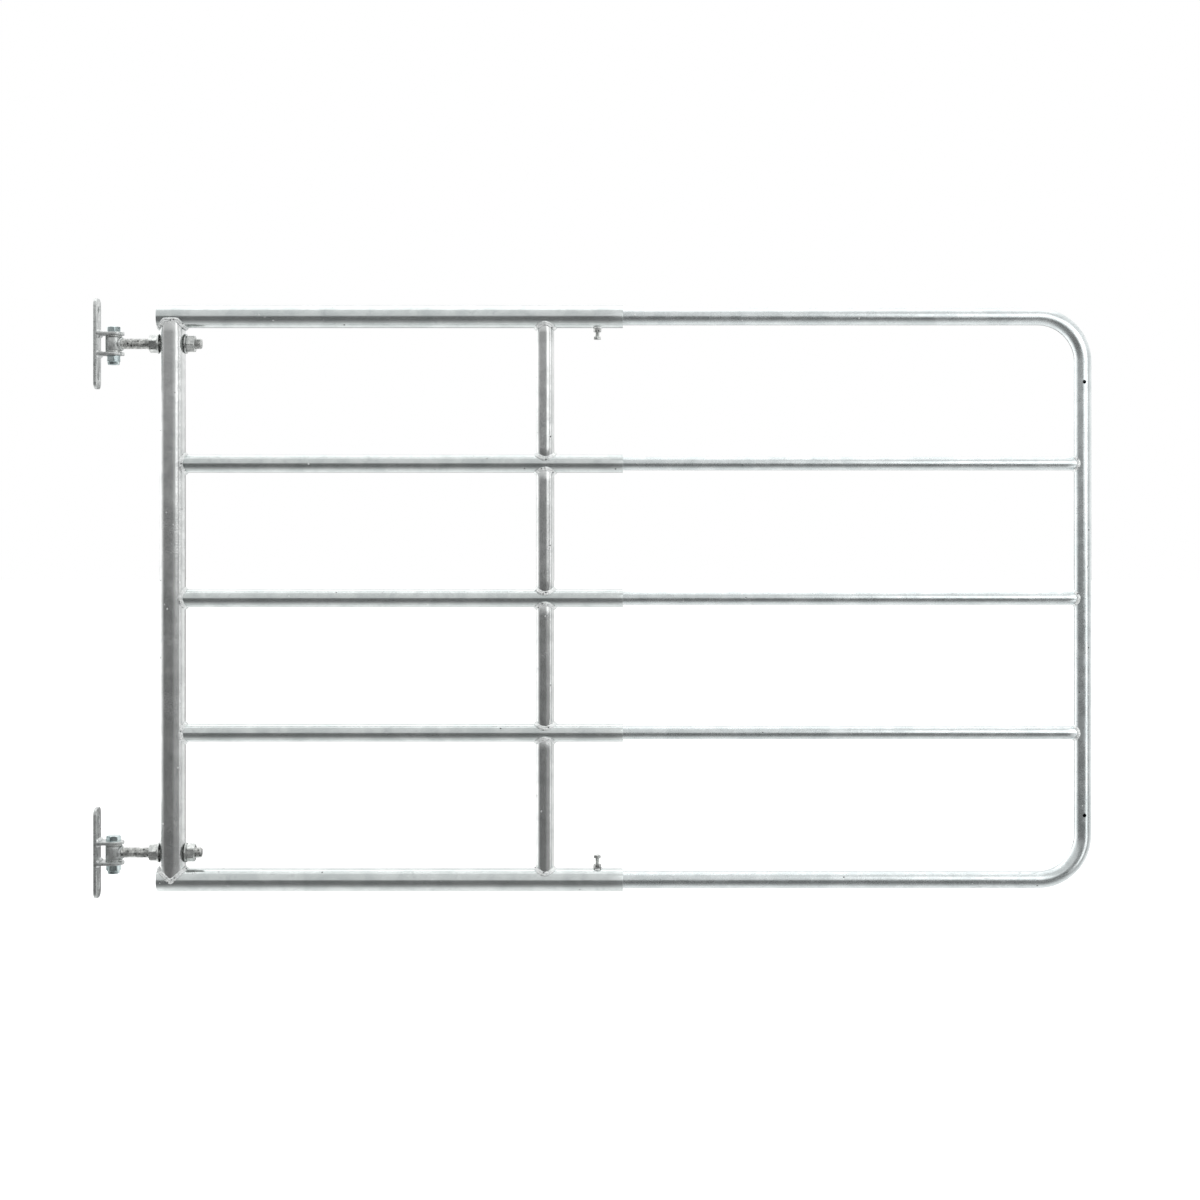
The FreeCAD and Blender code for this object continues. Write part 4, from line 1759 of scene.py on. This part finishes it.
    def _nuts_and_washers(self, finishes: Finishes) -> List[bpy.types.Object]:
        """Hexagon nuts and flat washers on both eye rods.

        Args:
            finishes: materials.

        Returns:
            The new pieces.
        """
        pieces = []
        shape = HexagonShape(self.nut_flats, self.nut_height)
        for side, turns in self.nut_turns.items():
            node = side + "_rod_nuts"
            box = Place.of(node)
            z = Place.of(side + "_eye_rod").centre.z
            meshes = []
            for start, turn in zip((box.low.x, box.high.x - self.nut_height), turns):
                part = TurnedPart(on_plane(start, z), LEVEL, math.radians(turn))
                rings = [part.ring(level, radius, shape) for level, radius in shape.levels(True, True)]
                rings += [part.ring(self.nut_height, self.nut_bore + 1.0 * MM),
                          part.ring(self.nut_height - 1.0 * MM, self.nut_bore),
                          part.ring(1.0 * MM, self.nut_bore), part.ring(0.0, self.nut_bore + 1.0 * MM)]
                meshes.append(part.build("nut", rings, True))
            pieces.append(add_piece(node + "_hexagons", joined(meshes), Body.OUTER,
                                    finishes.fastener, [node]))
            node = side + "_rod_washers"
            box = Place.of(node)
            thickness = 3.0 * MM
            meshes = [washer_mesh("washer", on_plane(x, z), LEVEL, thickness, box.size.z / 2.0,
                                  self.washer_bore)
                      for x in (box.low.x, box.high.x - thickness)]
            pieces.append(add_piece(node + "_rings", joined(meshes), Body.OUTER,
                                    finishes.fastener, [node]))
        return pieces

    def _clamp_nuts(self, finishes: Finishes) -> List[bpy.types.Object]:
        """Nuts welded over the clamp screw holes.

        Args:
            finishes: materials.

        Returns:
            The new pieces.
        """
        pieces = []
        for side, rail, up in (("upper", "top", -1.0), ("lower", "bottom", 1.0)):
            node = side + "_clamp_nut"
            box = Place.of(node)
            sleeve = self.rail(rail)
            top = box.low.z if up < 0.0 else box.high.z
            height = box.size.z
            shape = HexagonShape(self.clamp_flats, height, edge=0.2 * MM)
            part = TurnedPart(on_plane(box.centre.x, top), -UPRIGHT * up, 0.0)
            rings = [part.ring(level, radius, shape) for level, radius in shape.levels(True, False)]
            radius = sleeve.size.z / 2.0
            foot = rings[:-2]
            outline = shape.outline(part.from_corner)
            points = outline * np.cos(part.loft.angles)
            sink = abs(top - sleeve.centre.z) - np.sqrt(np.clip(radius ** 2 - points ** 2, 0.0, None))
            foot.append(Station(part.start, part.along, outline, sink, height))
            inner = self.clamp_bore * np.cos(part.loft.angles)
            sink = abs(top - sleeve.centre.z) - np.sqrt(radius ** 2 - inner ** 2)
            foot.append(Station(part.start, part.along, self.clamp_bore, sink, height))
            foot += [part.ring(0.5 * MM, self.clamp_bore), part.ring(0.0, self.clamp_bore + 0.5 * MM)]
            pieces.append(add_piece(node + "_hexagon", part.build(node, foot, True), Body.OUTER,
                                    finishes.burnt, [node]))
        return pieces

    def _welds(self, finishes: Finishes, trees: Trees) -> List[bpy.types.Object]:
        """Weld beads round every coped tube and round the clamp nuts.

        Args:
            finishes: materials.
            trees: geometry trees.

        Returns:
            The new pieces.
        """
        seams = []
        upright = Place.of("hinge_upright")
        for name in self.rails[1:-1]:
            box = self.rail(name)
            saddle = Saddle(box.size.z / 2.0, upright.size.x / 2.0)
            seams += saddle.seam(on_plane(upright.centre.x, box.centre.z), LEVEL, self.weld_spread)
        lower, upper = self._end_saddles()
        for saddle, rail, along in ((lower, "bottom", UPRIGHT), (upper, "top", -UPRIGHT)):
            seams += saddle.seam(Vector((upright.centre.x, 0.0, self.rail(rail).centre.z)), along,
                                 1.2 * self.weld_spread)
        for number in range(1, len(self.rails)):
            x = Place.of(f"middle_upright_piece_{number}").centre.x
            lower, upper, low, high = self._middle_saddles(number)
            seams += lower.seam(on_plane(x, low), UPRIGHT, self.weld_spread)
            seams += upper.seam(on_plane(x, high), -UPRIGHT, self.weld_spread)
        mesh = trees.weld.run(path_mesh(seams, True), finishes.weld, Bead_radius=self.weld_radius)
        pieces = [add_piece("outer_half_welds", mesh, Body.OUTER, finishes.weld)]
        rings = []
        for side, rail, up in (("upper", "top", -1.0), ("lower", "bottom", 1.0)):
            box = Place.of(side + "_clamp_nut")
            sleeve = self.rail(rail)
            radius = self.clamp_flats / 2.0 + 1.2 * MM
            ring = []
            for angle in np.linspace(0.0, 2.0 * math.pi, 72, endpoint=False):
                x, y = radius * math.cos(angle), radius * math.sin(angle)
                height = math.sqrt((sleeve.size.z / 2.0) ** 2 - y ** 2)
                ring.append(Vector((box.centre.x + x, y, sleeve.centre.z + up * height)))
            rings.append(ring)
        mesh = trees.weld.run(path_mesh(rings, True), finishes.weld, Bead_radius=self.nut_weld_radius,
                              Ripple_pitch=self.nut_weld_pitch, Skin_depth=self.nut_weld_skin)
        pieces.append(add_piece("clamp_nut_welds", mesh, Body.OUTER, finishes.weld))
        return pieces


@dataclass
class InnerHalf:
    """Sliding half: the bent bow and three inner rails, with their welds."""

    bow_wall: float = 2.0 * MM
    rail_wall: float = 2.0 * MM
    bend_radius: float = 85.0 * MM
    hole_radius: float = 3.5 * MM
    hole_from_rail: float = 123.0 * MM
    weld_radius: float = 2.2 * MM
    weld_spread: float = 1.2 * MM
    skins: List[bpy.types.Mesh] = field(default_factory=list)

    def build(self, finishes: Finishes, trees: Trees) -> List[bpy.types.Object]:
        """Make and dress the sliding half.

        Args:
            finishes: materials.
            trees: geometry trees.

        Returns:
            The new pieces.
        """
        bow = Place.of("inner_bow")
        top, bottom = Place.of("top_sleeve_rail").centre.z, Place.of("bottom_sleeve_rail").centre.z
        radius = bow.high.z - top
        end_x = bow.high.x - radius
        path = self._bow_path(bow.low.x, end_x, top, bottom)
        mesh = TubeRun(path, radius, self.bow_wall).build("inner_bow")
        self.skins.append(mesh.copy())
        drills = [bar_mesh("drill", on_plane(end_x, z), FRONT, 2.0 * radius, self.hole_radius, 32)
                  for z in (bottom + self.hole_from_rail, top - self.hole_from_rail)]
        pieces = [add_piece("inner_bow_tube", drilled(mesh, drills), Body.INNER, finishes.sliding,
                            ["inner_bow"])]
        seams = []
        for name in ("lower_mid", "centre", "upper_mid"):
            node = name + "_inner_rail"
            box = Place.of(node)
            size = box.size.z / 2.0
            saddle = Saddle(size, radius)
            run = TubeRun(TubeRun.straight(on_plane(box.low.x, box.centre.z),
                                           on_plane(end_x, box.centre.z)), size, self.rail_wall, None, saddle)
            mesh = run.build(node)
            self.skins.append(mesh.copy())
            pieces.append(add_piece(node + "_tube", mesh, Body.INNER, finishes.sliding, [node]))
            seams += saddle.seam(on_plane(end_x, box.centre.z), -LEVEL, self.weld_spread)
        mesh = trees.weld.run(path_mesh(seams, True), finishes.weld, Bead_radius=self.weld_radius)
        pieces.append(add_piece("inner_half_welds", mesh, Body.INNER, finishes.weld))
        return pieces

    def _bow_path(self, start: float, end_x: float, top: float, bottom: float) -> List[Tuple[Vector, Vector]]:
        """Centreline of the bow.

        Args:
            start: where both arms begin.
            end_x: centre of the end upright.
            top: height of the top arm.
            bottom: height of the bottom arm.

        Returns:
            Pairs of point and direction.
        """
        radius, steps = self.bend_radius, 24
        bend_x = end_x - radius
        path = TubeRun.straight(on_plane(start, top), on_plane(bend_x, top))
        for step in range(1, steps + 1):
            angle = 0.5 * math.pi * step / steps
            sine, cosine = math.sin(angle), math.cos(angle)
            path.append((on_plane(bend_x + radius * sine, top - radius * (1.0 - cosine)),
                         on_plane(cosine, -sine)))
        path += TubeRun.straight(on_plane(end_x, top - radius), on_plane(end_x, bottom + radius))[1:]
        for step in range(1, steps + 1):
            angle = 0.5 * math.pi * step / steps
            sine, cosine = math.sin(angle), math.cos(angle)
            path.append((on_plane(bend_x + radius * cosine, bottom + radius * (1.0 - sine)),
                         on_plane(-sine, -cosine)))
        path += TubeRun.straight(on_plane(bend_x, bottom), on_plane(start, bottom))[1:]
        return path


@dataclass
class ClampScrew:
    """Hexagon screw that fixes the gate's width."""

    name: str
    rail: str
    body: Body
    up: float
    flats: float = 13.0 * MM
    head_height: float = 5.3 * MM
    radius: float = 4.0 * MM
    pitch: float = 1.25 * MM
    corner: float = 30.0
    thread_depth: float = 0.68 * MM

    def build(self, finishes: Finishes, trees: Trees) -> List[bpy.types.Object]:
        """Make and dress the screw.

        Args:
            finishes: materials.
            trees: geometry trees.

        Returns:
            The new piece.
        """
        box = Place.of(self.name)
        out = UPRIGHT * self.up
        tip = box.low.z if self.up > 0.0 else box.high.z
        length = box.size.z - self.head_height
        start = on_plane(box.centre.x, tip)
        seat = start + out * length
        shank = trees.thread.run(path_mesh([[seat + out * 0.5 * MM, start]], False), finishes.fastener,
                                 Bar_radius=self.radius, Thread_pitch=self.pitch,
                                 Thread_depth=self.thread_depth, Last_chamfer=0.8 * MM, First_chamfer=0.0,
                                 Thread_begins=0.6 * MM, Step=0.2 * MM)
        shape = HexagonShape(self.flats, self.head_height, edge=0.25 * MM)
        part = TurnedPart(seat, out, math.radians(self.corner))
        rings = [part.ring(0.0, 0.7 * self.flats / 2.0)]
        rings += [part.ring(level, radius, shape) for level, radius in shape.levels(False, True)]
        head = part.build("head", rings, False)
        return [add_piece(self.name + "_hexagon", joined([shank, head]), self.body,
                          finishes.fastener, [self.name])]


@dataclass
class Studio:
    """Floor, lights, surroundings and camera."""

    floor_height: float = -0.20
    floor_size: float = 30.0
    floor_glow: float = 0.30
    camera_place: Tuple[float, float, float] = (0.948, -4.04, 0.7025)
    lens: float = 64.5
    sensor_width: float = 36.0
    shift_up: float = -0.1012
    white: float = 1.0
    open_light: float = 1.28
    rear_edge: Span = (-0.50, 0.60)
    left_lean: float = 0.05
    left_edge: Span = (-0.10, -0.60)
    left_gain: float = 0.55
    back_edge: Span = (0.80, 0.90)
    back_shade: float = 0.80
    right_edge: Span = (0.05, 0.60)
    right_gain: float = 1.5
    lift_limit: float = 1.0
    low_edge: Span = (0.10, -0.05)
    front_light: Tuple[Tuple[float, float], ...] = (
        (-1.0, 0.92), (-0.95, 0.60), (-0.86, 0.44), (-0.74, 0.30), (-0.63, 0.15), (-0.28, 0.14),
        (-0.06, 0.15), (0.01, 0.25), (0.05, 0.36), (0.09, 0.64), (0.20, 0.90), (0.42, 0.82), (0.57, 0.88),
        (0.72, 0.92), (0.84, 0.94), (0.94, 0.96), (1.0, 1.0))

    def build(self) -> None:
        """Set up everything round the gate."""
        self._floor()
        self._surroundings()
        self._lights()
        self._camera()
        bpy.context.scene.view_settings.view_transform = "Standard"

    def _floor(self) -> None:
        """Plain pale floor."""
        half = self.floor_size / 2.0
        corners = [(-half, -half), (half, -half), (half, half), (-half, half)]
        mesh = bpy.data.meshes.new("studio_floor")
        mesh.from_pydata([(x, y, self.floor_height) for x, y in corners], [], [(0, 1, 2, 3)])
        sheet = ShaderSheet("pale_floor")
        where = sheet.place()
        shade = sheet.span(sheet.noise(where, 0.7), 0.3, 0.7)
        colour = sheet.blend(shade, (0.93, 0.93, 0.93), (0.95, 0.95, 0.95))
        rough = sheet.span(sheet.noise(where, 2.0), 0.3, 0.7, 0.9, 1.0)
        pale = sheet.finish(colour, rough, sheet.bump(shade, 0.01 * MM), Emission_Strength=self.floor_glow)
        mesh.materials.append(pale)
        floor = bpy.data.objects.new("studio_floor", mesh)
        bpy.context.scene.collection.objects.link(floor)
        floor.visible_glossy = False

    def _surroundings(self) -> None:
        """Room that is white to the camera and graded in reflections.

        In front the grading runs over the height, dark low down and lifted at the right. Behind the gate
        it is bright, brighter still at the left, and shaded low straight behind.
        """
        world = bpy.data.worlds.new("studio")
        bpy.context.scene.world = world
        world.use_nodes = True
        sheet = NodeSheet(world.node_tree)
        sheet.tree.nodes.clear()
        axes = sheet.add("ShaderNodeSeparateXYZ")
        sheet.feed(axes.inputs[0], sheet.add("ShaderNodeTexCoord").outputs["Generated"])
        x, y, z = axes.outputs
        ramp = sheet.add("ShaderNodeValToRGB")
        sheet.feed(ramp.inputs[0], sheet.maths("MULTIPLY", sheet.maths("ADD", z, 1.0), 0.5))
        stops = ramp.color_ramp.elements
        while len(stops) > 1:
            stops.remove(stops[-1])
        for index, (height, light) in enumerate(self.front_light):
            stop = stops[0] if index == 0 else stops.new((height + 1.0) / 2.0)
            stop.position = (height + 1.0) / 2.0
            stop.color = (light, light, light, 1.0)
        lift = sheet.maths("MULTIPLY", sheet.edge(x, self.right_edge), self.right_gain)
        front = sheet.maths("MULTIPLY", ramp.outputs[0], sheet.maths("ADD", lift, 1.0))
        front = sheet.maths("MINIMUM", front, self.lift_limit)
        rear = sheet.edge(sheet.maths("ADD", y, sheet.maths("MULTIPLY", x, self.left_lean)), self.rear_edge)
        gain = sheet.maths("MULTIPLY", sheet.edge(x, self.left_edge), self.left_gain)
        behind = sheet.maths("MULTIPLY", rear, self.open_light)
        behind = sheet.maths("MULTIPLY", behind, sheet.maths("ADD", 1.0, gain))
        level = sheet.maths("ADD", sheet.maths("MULTIPLY", front, sheet.maths("SUBTRACT", 1.0, rear)), behind)
        shade = sheet.maths("MULTIPLY", sheet.edge(y, self.back_edge), sheet.edge(z, self.low_edge))
        shade = sheet.maths("SUBTRACT", 1.0, sheet.maths("MULTIPLY", shade, self.back_shade))
        seen = sheet.add("ShaderNodeBackground")
        sheet.feed(seen.inputs["Color"], (self.white, self.white, self.white, 1.0))
        lit = sheet.add("ShaderNodeBackground")
        sheet.feed(lit.inputs["Strength"], sheet.maths("MULTIPLY", level, shade))
        either = sheet.add("ShaderNodeMixShader")
        sheet.feed(either.inputs[0], sheet.add("ShaderNodeLightPath").outputs["Is Camera Ray"])
        sheet.feed(either.inputs[1], lit.outputs[0])
        sheet.feed(either.inputs[2], seen.outputs[0])
        sheet.feed(sheet.add("ShaderNodeOutputWorld").inputs["Surface"], either.outputs[0])

    def _lights(self) -> None:
        """Soft lights: above, at the right of the camera, and a narrow one off the latch end."""
        for name, place, aim, size, power in (
                ("overhead_softbox", (0.9, 0.6, 3.2), (0.9, 0.0, 0.0), (4.5, 3.0), 24.0),
                ("right_softbox", (2.8, -2.3, 1.57), (2.8, 0.0, 1.57), (2.0, 2.05), 12.0),
                ("end_strip", (2.24, -0.46, 0.5), (1.855, 0.0, 0.5), (0.26, 1.7), 1.6)):
            light = bpy.data.lights.new(name, "AREA")
            light.shape = "RECTANGLE"
            light.size, light.size_y = size
            light.energy = power
            lamp = bpy.data.objects.new(name, light)
            bpy.context.scene.collection.objects.link(lamp)
            lamp.location = place
            lamp.rotation_euler = (Vector(aim) - Vector(place)).to_track_quat("-Z", "Y").to_euler()
            lamp.visible_camera = False

    def _camera(self) -> None:
        """Level camera in front of the gate."""
        data = bpy.data.cameras.new("gate_camera")
        data.lens = self.lens
        data.sensor_width = self.sensor_width
        data.shift_y = self.shift_up
        camera = bpy.data.objects.new("gate_camera", data)
        camera.location = self.camera_place
        camera.rotation_euler = (math.pi / 2.0, 0.0, 0.0)
        bpy.context.scene.collection.objects.link(camera)
        bpy.context.scene.camera = camera


def add_specks(name: str, skins: Sequence[bpy.types.Mesh], body: Body, seed: int, finishes: Finishes,
               trees: Trees) -> bpy.types.Object:
    """Scatter small zinc drops over the outside of some tubes.

    Args:
        name: name of the piece.
        skins: meshes of the tubes.
        body: body they ride on.
        seed: fixed seed.
        finishes: materials.
        trees: geometry trees.

    Returns:
        The new piece.
    """
    mesh = trees.specks.run(joined(skins), finishes.weld, Seed=seed)
    return add_piece(name, mesh, body, finishes.weld)


def write_sizes() -> None:
    """Update the view layer."""
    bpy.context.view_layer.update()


def main() -> None:
    """Build every sub-assembly in order and report its pieces."""
    logging.basicConfig(level=logging.INFO, format="%(name)s: %(message)s")
    finishes = Finishes()
    trees = Trees()
    outer, inner = OuterHalf(), InnerHalf()
    builders = [
        PostBracket("lower", 13.0, 10.0), PostBracket("upper", 50.0, 47.0),
        EyeBolt("lower"), EyeBolt("upper"), outer, inner,
        ClampScrew("lower_clamp_screw", "bottom", Body.LOWER_SCREW, 1.0),
        ClampScrew("upper_clamp_screw", "top", Body.UPPER_SCREW, -1.0),
    ]
    for builder in builders:
        for piece in builder.build(finishes, trees):
            log.info("%s: %s, %d faces", type(builder).__name__, piece.name, len(piece.data.polygons))
    for name, half, body, seed in (("outer_half_zinc_specks", outer, Body.OUTER, 11),
                                   ("inner_half_zinc_specks", inner, Body.INNER, 23)):
        piece = add_specks(name, half.skins, body, seed, finishes, trees)
        log.info("specks: %s, %d faces", piece.name, len(piece.data.polygons))
    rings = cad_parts["lock_nut_nylon_rings"]
    for slot in rings.material_slots:
        slot.material = finishes.nylon
    Studio().build()
    write_sizes()


if __name__ == "__main__":
    main()
